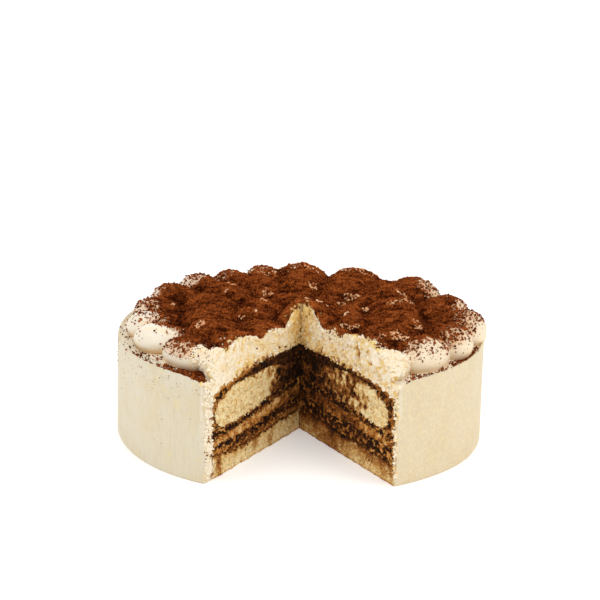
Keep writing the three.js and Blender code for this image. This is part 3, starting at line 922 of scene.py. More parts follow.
RIM = CAKE_RADIUS + 0.3  # no dollop hangs out further than this
CUT_REACH = 0.4 * MM  # vertices this close to a cut stay where the cut put them
CUT_DEPTH = 4.0 * MM  # to this depth behind a cut all cream is torn
SWELL_CLEAR = 3 * MM  # only what lies further than this from the cuts swells unevenly
CREAM_SWELL = 0.35
TORN_SWELL = 1.0
WHOLE_SOAK = 0.04  # the colour of whole cream, on the scale of the coffee
CUT_GOLD = 0.20  # torn cream is this much more golden
FRINGE_SHADE_GOLD = 0.20  # and so, as painted shade, is the fringe where it turns into whole cream, for the warm shade in the crease there
MOST_DOLLOP_GOLD = 0.24


def dress_dollop(bm, node):
    """Swells a dollop a little unevenly, tears it by the cuts, marks its cocoa and hands it over."""
    dust, torn, soak, under, warm = (
        bm.verts.layers.float.new(name) for name in ("dust", "torn", "soak", "under", "warm")
    )
    bm.normal_update()
    for v in bm.verts:
        radius, azimuth, height = where(v.co)
        if radius > RIM:
            v.co = at(RIM, azimuth, height)
        x, y, z = v.co / MM
        cut = in_slice(v.co) > -CUT_DEPTH
        v[torn] = 1 if cut else torn_by_knife(radius, azimuth, LEDGE, TORN_PIPING) * (radius > MOUND_EDGE)
        # Painted shade: the fringe where torn cream turns into whole cream is painted more golden.
        fringe = 4 * v[torn] * (1 - v[torn]) if height > LEDGE + 1 else 0
        golden = tip_gold(radius) + CUT_GOLD * cut + FRINGE_SHADE_GOLD * fringe
        v[soak] = WHOLE_SOAK + min(MOST_DOLLOP_GOLD, golden)
        v[warm] = golden_side_and_warm_light(azimuth)
        # Painted shade: how far the surface faces down, which paints it darker and warmer underneath.
        v[under] = 1 - ease(v.normal.z, -0.7, 0.15)
        if in_slice(v.co) < -SWELL_CLEAR:
            inland = 1 - ease(radius, CAKE_RADIUS - 6, CAKE_RADIUS - 1)
            v.co += v.normal * (MM * CREAM_SWELL * lumps(x, y, z, 8) * inland)
        if in_slice(v.co) < -CUT_REACH:
            rough = 0.5 - 1.6 * abs(lumps(x, y, z / 1.5, 3.4)) + 0.5 * lumps(x, y, z, 1.6)
            v.co += v.normal * (MM * TORN_SWELL * rough * v[torn])
        if in_slice(v.co) < -CUT_REACH or v.normal.z > 0.5:
            v[dust] = dusting(radius, azimuth) * ease(v.normal.z, -0.15, 0.5) * (1 - v[torn])
    return hand_over(bm, node + "_piped", FINISHES["piped"], [node])


FINE = 16  # a third of the segments round a dollop
DOLLOPS = []
for ring_name, ring in RINGS.items():
    for n, sizes in enumerate(sizes_of(ring), 1):
        node = f"{ring_name}_dollop_{n:02d}"
        dollop = piped(sizes, FINE)
        if any(in_slice(v.co) > 0 for v in dollop.verts):
            dollop = cut_open(dollop, node)
        DOLLOPS.append(dress_dollop(dollop, node))
DOLLOPS.append(dress_dollop(cut_open(centre_blob(FINE), "centre"), "centre_dollop"))
bpy.data.objects.remove(SLICE)


# ---- The top's relief --------------------------------------------------------------------------------
CELL = 0.55
REACH = 101  # how far the relief goes from the axis
CELLS = int(2 * REACH / CELL) + 1
SKY = 90  # a height above everything, to drop things from


class Relief:
    """A height or an amount over the cake, known on an even grid and read between its points."""

    def __init__(self, values):
        self.values = values

    def read(self, x, y):
        """The value at offsets from the axis, in millimetres: numbers or arrays."""
        column, row = (np.asarray(x) + REACH) / CELL, (np.asarray(y) + REACH) / CELL
        i = np.clip(column.astype(int), 0, CELLS - 2)
        j = np.clip(row.astype(int), 0, CELLS - 2)
        a, b = column - i, row - j
        low = self.values[j, i] * (1 - a) + self.values[j, i + 1] * a
        high = self.values[j + 1, i] * (1 - a) + self.values[j + 1, i + 1] * a
        return low * (1 - b) + high * b


def over_cake(rule, outside):
    """A relief worked out by a rule of the radius and azimuth."""
    values = np.full((CELLS, CELLS), float(outside))
    for j in range(CELLS):
        y = j * CELL - REACH
        for i in range(CELLS):
            x = i * CELL - REACH
            radius, azimuth = polar(x, y)
            if radius < CAKE_RADIUS and SLICE_START <= azimuth <= SLICE_END:
                values[j, i] = rule(radius, azimuth)
    return values


def merged_tree(pieces):
    """One search tree over several pieces, to drop things on."""
    corners, faces = [], []
    for piece in pieces:
        start = len(corners)
        corners.extend(v.co.copy() for v in piece.data.vertices)
        faces.extend([start + n for n in face.vertices] for face in piece.data.polygons)
    return BVHTree.FromPolygons(corners, faces)


PIPED_TREE = merged_tree(DOLLOPS)
DOWN = Vector((0, 0, -1))


def piped_height(radius, azimuth):
    """The top of the dollops or of the cake under them."""
    hit = PIPED_TREE.ray_cast(at(radius, azimuth, SKY), DOWN)[0]
    deck = deck_height(radius, azimuth)
    return max(deck, hit.z / MM) if hit else deck


def blurred(values, reach):
    """Values averaged with their neighbours, by a bell curve of this reach in millimetres."""
    half = int(3 * reach / CELL)
    bell = np.exp(-0.5 * (np.arange(-half, half + 1) * CELL / reach) ** 2)
    for axis in (0, 1):
        values = np.apply_along_axis(np.convolve, axis, values, bell / bell.sum(), mode="same")
    return values


TOUCH = 0.7  # how strongly the highest neighbours count, for each millimetre
FILL_REACH = 2.3  # cocoa fills creases about this wide
FILLS_FROM, FILLS_OVER = 0.3, 0.5  # where there is more than the first of it, wholly so after the second
CREST_REACH = 3.0
TINY = 1e-6  # keeps a quotient and a logarithm finite
NOWHERE = -1  # the height of what has missed the cake

OUTLINE = over_cake(lambda radius, azimuth: 1, 0)
PIPED = over_cake(piped_height, MOUND)
COVER = over_cake(dusting, 0)
weighed = blurred(np.exp(TOUCH * (PIPED - MOUND)) * OUTLINE, FILL_REACH)
settled = weighed / (blurred(OUTLINE, FILL_REACH) + TINY)
FILLED = MOUND + np.log(settled + TINY) / TOUCH
inside = np.clip((COVER - FILLS_FROM) / FILLS_OVER, 0, 1)
FILLED_TOP = Relief(PIPED + inside * np.maximum(FILLED - PIPED, 0))
DUST = Relief(COVER)
STEEP = Relief(np.hypot(*np.gradient(FILLED_TOP.values, CELL)))  # how steep it is: 1 at 45 degrees
CRESTS = Relief(FILLED_TOP.values - blurred(FILLED_TOP.values, CREST_REACH))  # above what is round it


# ---- Layers ------------------------------------------------------------------------------------------
# Stains on each cut face, in the sponge and the marbled cream: radius, height, half their width and
# height, and how much coffee they hold. A pale lump holds less than nothing.
STAINS = {
    "base_sponge": (
        ((33, 4, 17, 9, 0.34), (72, 9, 8, 3, 0.20), (88, 5, 3, 5, 0.14), (14, 3, 4, 4, -0.08)),
        ((32, 4, 3, 5, 0.26), (48, 6, 3.5, 3, 0.30), (85, 7, 3, 9, 0.42), (70, 9, 12, 2, 0.15)),
    ),
    "coffee_cream": (
        ((8, 24, 4, 3, -0.25), (68, 23, 7, 2.5, -0.22), (84, 22, 6, 3, -0.3), (40, 24, 5, 2, -0.12)),
        ((25, 23.5, 4, 2, -0.35), (41, 21.5, 9, 2.2, -0.38), (62, 19.5, 8, 2, -0.22), (8, 24, 6, 2, -0.12)),
    ),
    "ladyfinger": (
        ((8, 36, 4, 4, -0.3), (30, 40, 6, 3, -0.22), (42, 41, 7, 4, -0.3), (52, 37, 5, 5, 0.12)),
        ((14, 40, 5, 2.5, -0.25), (46, 42.5, 4, 1.5, 0.2), (30, 34, 4, 3, 0.12)),
    ),
}
SOAKED_TO = (61, 31)  # the radius out to which the ladyfingers are soaked, at each cut
DRAINED = (0.15, 0.42)  # how much coffee has run out of the foot of the lower crumb

# What is known of a spot of a cut face: its place, its cut, its distances to the layer's bottom and top,
# and smooth noise there in large, middling and small lumps.
Spot = namedtuple("Spot", "radius height side below above large middle small")


def stain(name, spot):
    """How much the stains of a layer darken a spot."""
    total = 0.0
    for r, z, half_width, half_height, amount in STAINS[name][spot.side]:
        away = ((spot.radius - r) / half_width) ** 2 + ((spot.height - z) / half_height) ** 2
        total += amount * math.exp(-away)
    return total


def near_tip(spot):
    """1 at the tip of the slice, where the coffee has gathered."""
    return 1 - ease(spot.radius, 4, 30)


def base_sponge_soak(spot):
    """Coffee has seeped into the bottom sponge from above, in a ragged line with a glow under it."""
    seep = 0.8 * ease(0.8 + 1.2 * spot.small + 0.8 * spot.middle - spot.above, -0.9, 0.7)
    strength, depth = ((0.62, 4.2), (0.27, 2.4))[spot.side]
    glow = strength * math.exp(-spot.above / depth) * (1 + 0.7 * spot.large)
    foot = 0.25 * (1 - ease(spot.height, 0.2, 1.2))
    moist = (0.08, 0.04)[spot.side] + glow + foot + 0.12 * near_tip(spot) + 0.07 * spot.middle
    return max(seep, moist + stain("base_sponge", spot))


def upper_crumb_soak(spot):
    """Coffee crumb is black, with browner patches, most of all towards the rim."""
    crumbly = ease(spot.radius, 60, 85) * (0.5, 0.3)[spot.side]
    patches = (0.36 + crumbly) * ease(spot.middle + 0.8 * spot.small, -0.1, 0.6)
    return 1.0 - patches - 0.35 * ease(spot.small, 0.2, 0.6)


def lower_crumb_soak(spot):
    """The lower crumb is like the upper one, but its foot has drained."""
    drained = DRAINED[spot.side] * (1 - ease(spot.below + spot.middle + spot.small, 0.8, 2.8))
    return upper_crumb_soak(spot) - drained


def marbled_soak(spot):
    """The marbled cream is tan, and dark along its bottom and top."""
    inside = min(spot.below, spot.above)
    edge = 0.75 * ease(0.5 + 1.0 * spot.small + 0.5 * spot.middle - inside, -0.6, 0.6)
    base = (0.60, 0.42)[spot.side] - 0.14 * ease(spot.radius, 55, 80) + 0.25 * near_tip(spot)
    return max(edge, base + 0.28 * spot.middle + 0.16 * spot.small + stain("coffee_cream", spot))


# How much coffee a soaked ladyfinger holds at its rounded end and at the tip of the slice, and the radii
# between which that changes, at each cut.
FINGER_SOAK = ((0.54, 0.95, 10, 50), (0.60, 0.98, 14, 36))


def ladyfinger_soak(spot):
    """The ladyfingers are soaked towards the tip, dry towards their ends and dark along their edges."""
    wet = ease(SOAKED_TO[spot.side] + 8 * spot.large + 6 * spot.middle - spot.radius, -9, 9)
    end, tip, tip_from, tip_to = FINGER_SOAK[spot.side]
    deep = mix(end, tip, 1 - ease(spot.radius, tip_from, tip_to))
    inside = min(spot.below, spot.above)
    edge = 0.6 * ease(0.3 + 1.0 * spot.small + 0.6 * spot.middle - inside, -0.6, 0.5)
    dry = (0.05, 0.06)[spot.side] + 0.10 * spot.middle + 0.10 * spot.small
    soaked = deep + 0.4 * spot.middle + 0.3 * spot.small
    return max(edge, mix(dry, soaked, wet) + stain("ladyfinger", spot))


def cocoa_soak(spot):
    """The cocoa is black too, worn in patches, and thin at its top towards the rim."""
    worn = ease(spot.radius, 60, 80) * (0.35, 0.5)[spot.side]
    top = 1 - ease(spot.above + spot.middle + spot.small, 0.4, 2.6)
    thin = (0.4, 0.75)[spot.side] * ease(spot.radius, 40, 62) * top
    return 1.0 - (0.25 + worn) * ease(spot.middle + 0.9 * spot.small, -0.3, 0.5) - thin


def cream_soak(spot):
    """The cream blushes over the cocoa that it lies on, and is golden in places."""
    fuzz = 1 + 1.6 * spot.side * (1 - ease(spot.radius, 50, 72))
    rise = (0.3 + 1.3 * spot.small + 0.8 * spot.middle) * fuzz
    edge = 0.70 * ease(rise - spot.below, -0.6 * fuzz, 0.7 * fuzz)
    blushing = ease(spot.radius, 6, 24) * (1 - ease(spot.radius, 60, 78))
    blush = 0.36 * math.exp(-spot.below / 3.6) * blushing * (0.7 + spot.large + spot.small)
    yellow = (0.05, 0.06)[spot.side] + 0.08 * ease(spot.middle, 0.1, 0.7) - 0.07 * ease(spot.radius, 45, 85)
    mottled = spot.middle + 0.7 * spot.small
    golden = (0.26, 0)[spot.side] * ease(spot.radius, 40, 60) * ease(mottled, -0.1, 0.8)
    smeared = 0.22 * math.exp(-spot.above / 1.3) * ease(mottled, -0.3, 0.5) * spot.side
    return max(edge, blush + yellow + (tip_gold(spot.radius) + golden) + smeared)


COAT_MOTTLING = ((0.24, 0.46), (0.0, 0.14))  # the least and most on the coat's own cut face, at each cut


def coat_soak(spot):
    """The coat's cut face is cream, with coffee only where it meets the layers."""
    edge = 0.45 * ease(0.2 + 0.9 * spot.small - (spot.radius - CORE_RADIUS[spot.side]), -0.5, 0.6)
    return max(edge, mix(*COAT_MOTTLING[spot.side], ease(spot.middle + spot.small, -0.2, 0.9)))


SOAK_RULES = {
    "base_sponge": base_sponge_soak, "coffee_lower": lower_crumb_soak, "coffee_cream": marbled_soak,
    "coffee_upper": upper_crumb_soak, "ladyfinger": ladyfinger_soak, "cocoa": cocoa_soak,
    "cream": cream_soak, "coat": coat_soak,
}


def soak_of(name, radius, height, side, below, above):
    """How much coffee a spot of a cut face holds: 0 for none, 1 for black.
    below and above are its distances to the layer's bottom and top."""
    seed = 70 * side + 30
    large = lumps(radius, height, seed, 8.0)
    middle = lumps(radius, height, seed + 9, 3.2)
    small = lumps(radius, height, seed + 18, 1.4)
    return SOAK_RULES[name](Spot(radius, height, side, below, above, large, middle, small))


LEDGE_DUST = 0.12  # the least there is on the ledge


def ledge_dust(radius, azimuth):
    """How much cocoa has settled on the ledge, and less on its lip."""
    amount = LEDGE_DUST
    for middle, half_width, most in LEDGE_DRIFTS:
        away = (azimuth - middle) / half_width
        amount = max(amount, most * math.exp(-away * away))
    return amount * (1 - 0.75 * ease(radius, LIP_INNER - 1, LIP_OUTER))


TORN_EDGE = (1.3, 0.8)  # how ragged the torn cream's upper edge is, at each cut
TORN_REACH = (94, 98)  # out to this radius each cut is torn up to the top of the piping
JUST_IN = 0.8  # the top is read this far inside the cake
FOLDS_READ_AT = 62  # the height at which the folds shape the torn edge
COVERED = 1.2  # away from the cuts the cream keeps this far under what lies on it
ROOF = CAD_BOX[1][2] / MM - 0.1  # nothing stands higher than this


def torn_top(radius, azimuth, t):
    """The top of the cream under the dollops: up to their tops at the cuts, and filling their creases."""
    deck = deck_height(radius, azimuth)
    side = cut_at(t)
    if side is None:
        x, y = offsets(radius, azimuth)
        share = ease(float(DUST.read(x, y)), 0.4, 0.9)
        return max(deck, mix(deck, float(FILLED_TOP.read(x, y)) - COVERED, share))
    x, y = offsets(radius, azimuth + math.degrees(JUST_IN / max(radius, 8)) * (1, -1)[side])
    ragged = lumps(radius, 100 * t, 5, 3.2) + 0.6 * lumps(radius, 100 * t, 9, 1.2)
    edge = TORN_EDGE[side] * ragged
    edge += 1.1 * fold(radius, FOLDS_READ_AT, side)[0]
    high = min(ROOF, float(FILLED_TOP.read(x, y)) + edge * ease(radius, 2, 8))
    reach = TORN_REACH[side]
    return max(deck, mix(high, deck, ease(radius, reach - 3, reach + 1)))


def cream_section(u, w, azimuth):
    """The section of the cream, from the cocoa up to the torn top."""
    t = (azimuth - SLICE_START) / (SLICE_END - SLICE_START)
    radius = core_radius(azimuth) * math.sin(u * math.pi / 2) ** 0.9
    return radius, mix(cocoa_outside(radius, azimuth), torn_top(radius, azimuth, t), w)


# The coat's upper edge is rounded, over this width and depth, and further round this azimuth.
COAT_ROUNDING = {"wide": 1.1, "deep": 0.8}
SHOULDER = {"azimuth": 277, "spread": 20, "wide": 5.0, "deep": 2.6}
FOOT_ROUNDING = 0.7
COAT_INSET = 0.45  # room for its bumps inside the cake's radius


def coat_section(u, w, azimuth):
    """The section of the coat: a thin wall with a rounded edge and a lip."""
    inner = core_radius(azimuth)
    bulge = COAT_BULGE * (math.sin(math.radians(7 * azimuth) + 2 * w) - 1)
    foot = FOOT_ROUNDING * (1 - ease(w, 0, 0.03))
    outer = CAKE_RADIUS - COAT_INSET + bulge - foot
    radius = mix(inner, outer, math.sin(u * math.pi / 2))
    soft = math.exp(-((azimuth - SHOULDER["azimuth"]) / SHOULDER["spread"]) ** 2)
    wide, deep = (mix(COAT_ROUNDING[size], SHOULDER[size], soft) for size in ("wide", "deep"))
    edge = max(0.0, (radius - outer + wide) / wide)
    ragged = 0.28 * lumps(azimuth * 1.7, radius, 3, 1.8) * ease(radius, LIP_INNER, LIP_OUTER)
    top = deck_height(radius, azimuth) - deep * (1 - math.sqrt(max(0.0, 1 - edge * edge))) + ragged
    return radius, top * w


COCOA_TIP = 49  # up to this height the line where the cuts meet is dark
TIP_SOAK = (0.9, 0.30)  # how dark it is there, and how golden above
HOLLOW_SHADE_GOLD = 0.14  # painted shade: torn cream is painted more golden in its hollows, for the warm shade there
MOST_HOLLOW_SHADE_GOLD = 0.20  # but there by no more than this
CREASE_SHADE_GOLD = (0.42, 0.15)  # and so, as painted shade, it is in the creases between its folds, at each cut
LAYER_ATTRIBUTES = ("soak", "dust", "warm", "torn")
AT_TOP = 0.999  # from this share of the layer's height on it counts as its top


def paint_layer(bm, sources, section, name, dusty):
    """Writes each vertex's coffee, with painted shade in the hollows and creases of torn cream, and, where
    the layer shows from above, its cocoa.
    """
    soak, dust, warm, torn = (bm.verts.layers.float[of] for of in LAYER_ATTRIBUTES)
    for v, (u, w, side, radius, height, azimuth) in zip(bm.verts, sources):
        v[warm] = golden_side_and_warm_light(azimuth)
        v[torn] = 1 if side is not None else torn_by_knife(radius, azimuth, height)
        if u < AT_END:
            v[soak] = TIP_SOAK[0] if height < COCOA_TIP else TIP_SOAK[1]
        elif side is not None:
            below = height - section(u, 0, azimuth)[1]
            above = section(u, 1, azimuth)[1] - height
            v[soak] = soak_of(name, radius, height, side, below, above)
            if name in ("cream", "coat"):
                # Painted shade: the hollows of the torn cream and coat, and the creases between the folds,
                # are painted more golden.
                v[soak] += min(MOST_HOLLOW_SHADE_GOLD, HOLLOW_SHADE_GOLD * max(0.0, -crumble(radius, height, side, name)))
                v[soak] += CREASE_SHADE_GOLD[side] * fold(radius, height, side)[1]
        elif dusty and w > AT_TOP:
            v[dust] = ledge_dust(radius, azimuth) if radius > MOUND_EDGE else 1.0


def roughness_kind(kind):
    """The kind of roughness that a finish has: its own, or that of coffee."""
    return kind if kind in ROUGHNESS else "coffee"


def layer(node, name, section, kind, size, turns=24, dusty=False):
    """One layer of the cake: its section bent round from cut to cut, with crumbling ends."""
    across, tiers = size
    bm = bar(across, tiers, turns)
    for attribute in LAYER_ATTRIBUTES:
        bm.verts.layers.float.new(attribute)
    sources = bend_round(bm, section, roughness_kind(kind))
    paint_layer(bm, sources, section, name, dusty)
    bmesh.ops.remove_doubles(bm, verts=bm.verts, dist=SAME_SPOT)
    return hand_over(bm, node + "_crumb", FINISHES[kind], [node])


base_section = flat_section("floor", "base_sponge")
lower_section = flat_section("base_sponge", "coffee_lower")
marbled_section = flat_section("coffee_lower", "coffee_cream")
upper_section = flat_section("coffee_cream", "coffee_upper")
layer("base_sponge", "base_sponge", base_section, "sponge", (180, 22))
layer("coffee_layer_lower", "coffee_lower", lower_section, "coffee", (180, 14))
layer("coffee_cream_layer", "coffee_cream", marbled_section, "coffee_cream", (180, 10))
layer("coffee_layer_upper", "coffee_upper", upper_section, "coffee", (180, 10))
layer("ladyfinger_layer", "ladyfinger", finger_section, "sponge", (180, 30))
layer("cocoa_layer", "cocoa", cocoa_section, "coffee", (220, 7))
CREAM_LAYER = layer("cream_layer", "cream", cream_section, "cream", (180, 30), 90, True)
COAT = layer("side_coat", "coat", coat_section, "coat", (14, 80), 300, True)


# ---- Small loose things ------------------------------------------------------------------------------
draw = np.random.default_rng(7)
LONGEST = 1.45  # the most that a bit is drawn out
FOOT_OF_AXIS = np.array([AXIS.x, AXIS.y, 0]) / MM


def pebble(round_ones):
    """The bare shape of a crumb or a grain: its corners and its triangles."""
    bm = bmesh.new()
    if round_ones:
        bmesh.ops.create_icosphere(bm, subdivisions=1, radius=1)
    else:
        bmesh.ops.create_uvsphere(bm, u_segments=4, v_segments=2, radius=1)
    corners = np.array([v.co[:] for v in bm.verts])
    faces = np.array([[v.index for v in face.verts] for face in bm.faces])
    bm.free()
    return corners, faces


def random_turns(count):
    """Rotation matrices, evenly at random."""
    a, b, c, d = draw.normal(size=(4, count))
    length = np.sqrt(a * a + b * b + c * c + d * d)
    a, b, c, d = a / length, b / length, c / length, d / length
    rows = (
        (1 - 2 * (c * c + d * d), 2 * (b * c - a * d), 2 * (b * d + a * c)),
        (2 * (b * c + a * d), 1 - 2 * (b * b + d * d), 2 * (c * d - a * b)),
        (2 * (b * d - a * c), 2 * (c * d + a * b), 1 - 2 * (b * b + c * c)),
    )
    return np.moveaxis(np.array(rows), 2, 0)


def in_reach(spots, sizes):
    """Which of them lie wholly within the cake's own box."""
    low, high = (np.array(corner) / MM - FOOT_OF_AXIS for corner in CAD_BOX)
    room = LONGEST * sizes[:, None]
    return np.all((spots - room > low) & (spots + room < high), axis=1)


def strew(name, shape, spots, sizes, finish, attribute, amounts):
    """Many crumbs or grains as one piece, each turned and drawn out at random. Spots and sizes are in mm."""
    kept = in_reach(spots, sizes)
    spots, sizes, amounts = spots[kept], sizes[kept], amounts[kept]
    corners, faces = shape
    count = len(spots)
    stretch = sizes[:, None] * draw.uniform(0.6, 1.3, (count, 3))
    bits = corners[None] * stretch[:, None, :] * draw.uniform(0.75, 1.2, (count, len(corners), 1))
    bits = np.einsum("nij,nkj->nki", random_turns(count), bits) + spots[:, None, :]
    bits += FOOT_OF_AXIS
    joined = faces[None] + np.arange(count)[:, None, None] * len(corners)
    mesh = bpy.data.meshes.new(name)
    mesh.from_pydata((bits.reshape(-1, 3) * MM).tolist(), [], joined.reshape(-1, faces.shape[1]).tolist())
    layer_of = mesh.attributes.new(attribute, "FLOAT", "POINT")
    layer_of.data.foreach_set("value", np.repeat(amounts, len(corners)).astype(np.float32))
    piece = in_scene(name, mesh)
    mesh.materials.append(finish)
    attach(piece, "root")
    return piece


GRAIN = pebble(False)
CRUMB = pebble(True)


# ---- Sifted cocoa ------------------------------------------------------------------------------------
COCOA_DEPTH = 0.45  # how deep it lies, before the clumps
CLOSED = (0.58, 0.78)  # between these amounts it goes from not covering the cream to covering it
TOO_STEEP = (0.9, 1.8)  # cocoa stays on slopes up to the first, and none beyond the second
BLANKET_TO = 99
BLANKET_DIP = -0.9  # its edge lies this deep in the cream
BLANKET_SKIRT = 1.2 * MM  # and is drawn out further down by this much
LEAST_COVER = 0.01


def cocoa_tone_and_painted_light(x, y):
    """How light the cocoa is: painted light on crests and painted shade in creases, painted light from
    behind towards the back, darker towards the left, and lighter and darker in drifts and clumps.
    """
    # Painted light and shade: lighter on crests, darker in creases.
    crest = min(1.0, max(-1.0, float(CRESTS.read(x, y)) / 0.9))
    drifts = 0.20 * lumps(x / 2, y, 13, 4.5) + 0.30 * lumps(x / 2, y, 17, 1.8) + 0.20 * lumps(x, y, 19, 1.0)
    # Painted light from behind makes the back lighter; towards the left it is darker.
    thin = 0.07 * ease(y, 5, 60) - 0.10 * ease(-x, 45, 75)
    return 0.49 + 0.26 * crest + drifts + thin


def cocoa_clumps(x, y):
    """How high the cocoa is heaped, in ridges from side to side with clumps on them."""
    ridges = 0.5 - abs(lumps(x / 2, y, 11, 5.0))
    return 1.2 * ridges + 0.4 * lumps(x / 2, y, 13, 2.4) + 0.35 * lumps(x, y, 17, 1.3)


def cocoa_cover(x, y):
    """Where the cocoa lies closed over the cream: 1 there and 0 where cream shows."""
    amount = float(DUST.read(x, y)) + 0.22 * lumps(x, y, 3, 3.0) + 0.40 * lumps(x, y, 7, 1.4)
    steep = ease(float(STEEP.read(x, y)), *TOO_STEEP)
    return ease(amount, *CLOSED) * (1 - steep)


def cocoa_blanket():
    """The cocoa where it covers the cream: one sheet of clumps that dips into the cream at its edge."""
    bm = bmesh.new()
    bmesh.ops.create_grid(bm, x_segments=CELLS - 1, y_segments=CELLS - 1, size=REACH)
    tone = bm.verts.layers.float.new("tone")
    doomed = []
    for v in bm.verts:
        x, y = v.co.x, v.co.y
        radius, azimuth = polar(x, y)
        cover = cocoa_cover(x, y) if radius < BLANKET_TO and SLICE_START < azimuth < SLICE_END else 0
        if cover < LEAST_COVER:
            doomed.append(v)
            continue
        depth = COCOA_DEPTH + cocoa_clumps(x, y) * ease(float(DUST.read(x, y)), 0.6, 1.0) * 0.8
        height = min(ROOF, float(FILLED_TOP.read(x, y)) + mix(BLANKET_DIP, depth, cover))
        v.co = at(radius, azimuth, height)
        # The tone holds painted light on crests and painted shade in creases.
        v[tone] = cocoa_tone_and_painted_light(x, y)
    bmesh.ops.delete(bm, geom=doomed, context="VERTS")
    return bm


def blanket_piece():
    """The blanket as a piece, with a skirt all round that closes it against the cream."""
    bm = cocoa_blanket()
    rim = [edge for edge in bm.edges if edge.is_boundary]
    skirt = bmesh.ops.extrude_edge_only(bm, edges=rim)["geom"]
    sunk = [v for v in skirt if isinstance(v, bmesh.types.BMVert)]
    bmesh.ops.translate(bm, verts=sunk, vec=(0, 0, -BLANKET_SKIRT))
    return hand_over(bm, "cocoa_blanket", FINISHES["cocoa"], [])


BLANKET = blanket_piece()


def over_ground(count):
    """Spots evenly at random over the cake, as x and y from its axis."""
    radius = CAKE_RADIUS * np.sqrt(draw.uniform(0, 1, count))
    turn = np.radians(draw.uniform(*CUTS, count))
    return radius * np.sin(turn), -radius * np.cos(turn), radius, np.degrees(turn)


GRAINS = 100000
GRAINS_A_PIECE = 24000
GRAINS_OUT_TO = 98.8
CLOSED_DUST = 0.7  # where there is more than this the cocoa counts as closed
STEEPEST = 0.25  # no grain stays where the slope's normal points up less than this
STRAY = 0.003  # the chance of a grain even where there is no cocoa
FINE_GRAINS = (0.20, 0.14)  # the least half-width, and the spread above it
COARSE_GRAINS = (0.30, 0.20)
TONE_SPREAD = 0.16
SINGLE_TONE = 0.60  # of grains that lie alone on the cream
LONE_SHARE = 0.55  # they are fewer than those on the closed cocoa, and coarser
LEDGE_CLEAR = 2.2  # what lands lower than this above the ledge lies on the ledge


def grain_sizes(count, least=FINE_GRAINS[0], spread=FINE_GRAINS[1]):
    """Half the width of the grains: mostly small, a few of them coarse."""
    return least + spread * draw.gamma(2.0, 0.6, count).clip(0, 4)


def settle(x, y):
    """Where things land that fall on the finished top, in mm from the axis."""
    spots, slopes = [], []
    for a, b in zip(x, y):
        hit, normal = TOP_TREE.ray_cast(Vector((AXIS.x + a * MM, AXIS.y + b * MM, SKY * MM)), DOWN)[:2]
        spots.append((a, b, hit.z / MM) if hit else (0, 0, NOWHERE))
        slopes.append(tuple(normal) if hit else (0, 0, 1))
    return np.array(spots), np.array(slopes)


TOP_TREE = merged_tree([BLANKET, CREAM_LAYER, COAT, *DOLLOPS])


def sift_cocoa():
    """Loose grains over the blanket, and ever fewer over the bare cream and the ledge."""
    x, y, radius, azimuth = over_ground(GRAINS)
    dust = DUST.read(x, y)
    ledge = np.array([ledge_dust(r, a) for r, a in zip(radius, azimuth)])
    spots, slopes = settle(x, y)
    on_ledge = (spots[:, 2] < LEDGE + LEDGE_CLEAR) & (radius > MOUND_EDGE)
    chance = np.where(on_ledge, ledge, dust) ** 1.2 + STRAY
    chance = chance * np.where(dust > CLOSED_DUST, 1, LONE_SHARE)
    landed = (spots[:, 2] > NOWHERE) & (slopes[:, 2] > STEEPEST) & (radius < GRAINS_OUT_TO)
    kept = landed & (draw.uniform(0, 1, len(x)) < chance)
    spots, slopes = spots[kept], slopes[kept]
    closed = DUST.read(spots[:, 0], spots[:, 1]) > CLOSED_DUST
    sizes = np.where(closed, grain_sizes(len(spots)), grain_sizes(len(spots), *COARSE_GRAINS))
    spots += slopes * (sizes * 0.35)[:, None]
    # Grains on closed cocoa take its tone, with painted light on crests and painted shade in creases.
    drifts = np.array([cocoa_tone_and_painted_light(x, y) for x, y in spots[:, :2]])
    tones = mix(SINGLE_TONE, drifts, closed) + TONE_SPREAD * draw.normal(size=len(spots))
    for n, start in enumerate(range(0, len(spots), GRAINS_A_PIECE), 1):
        batch = slice(start, start + GRAINS_A_PIECE)
        strew(f"cocoa_grains_{n}", GRAIN, spots[batch], sizes[batch], FINISHES["cocoa"], "tone",
              tones[batch])


sift_cocoa()

FLECK_SIZE = 0.55


def cream_flecks():
    """The cream's peaks that show through the cocoa."""
    spots = []
    for azimuth, radius, spread, count in FLECKS:
        middle_x, middle_y = offsets(radius, azimuth)
        turns = draw.uniform(0, 2 * math.pi, count)
        reach = spread * draw.uniform(0.5, 1.1, count)
        landed, slopes = settle(middle_x + reach * np.cos(turns), middle_y + reach * np.sin(turns))
        spots.extend((landed + slopes * 0.3)[landed[:, 2] > NOWHERE])
    sizes = FLECK_SIZE * draw.uniform(0.6, 1.4, len(spots))
    strew("cream_flecks", GRAIN, np.array(spots), sizes, FINISHES["flecks"], "dust",
          draw.uniform(0.0, 1.0, len(spots)))


cream_flecks()

WALL_GRAINS = 320
WALL_GRAIN_SHARE = 0.6  # of the size of the others
WALL_SPAN = (236, 331)  # the azimuths between which they stick
WALL_FALL = 8.0  # how far they have come down, on average
WALL_TOP = LEDGE - 1


def wall_grains():
    """A few grains that have rolled over the rim and stick to the top of the side."""
    azimuth = draw.uniform(*WALL_SPAN, WALL_GRAINS)
    height = WALL_TOP - draw.exponential(WALL_FALL, WALL_GRAINS)
    spots = []
    for turn, z in zip(azimuth, height):
        outside = at(CAKE_RADIUS + 10, turn, z)
        hit = TOP_TREE.ray_cast(outside, at(0, turn, z) - outside)[0]
        spots.append((hit - at(0, 0, 0)) / MM if hit else (0, 0, NOWHERE))
    spots = np.array(spots)
    sizes = grain_sizes(WALL_GRAINS) * WALL_GRAIN_SHARE
    tones = SINGLE_TONE + TONE_SPREAD * draw.normal(size=WALL_GRAINS)
    strew("cocoa_wall_grains", GRAIN, spots, sizes, FINISHES["cocoa"], "tone", tones)


wall_grains()


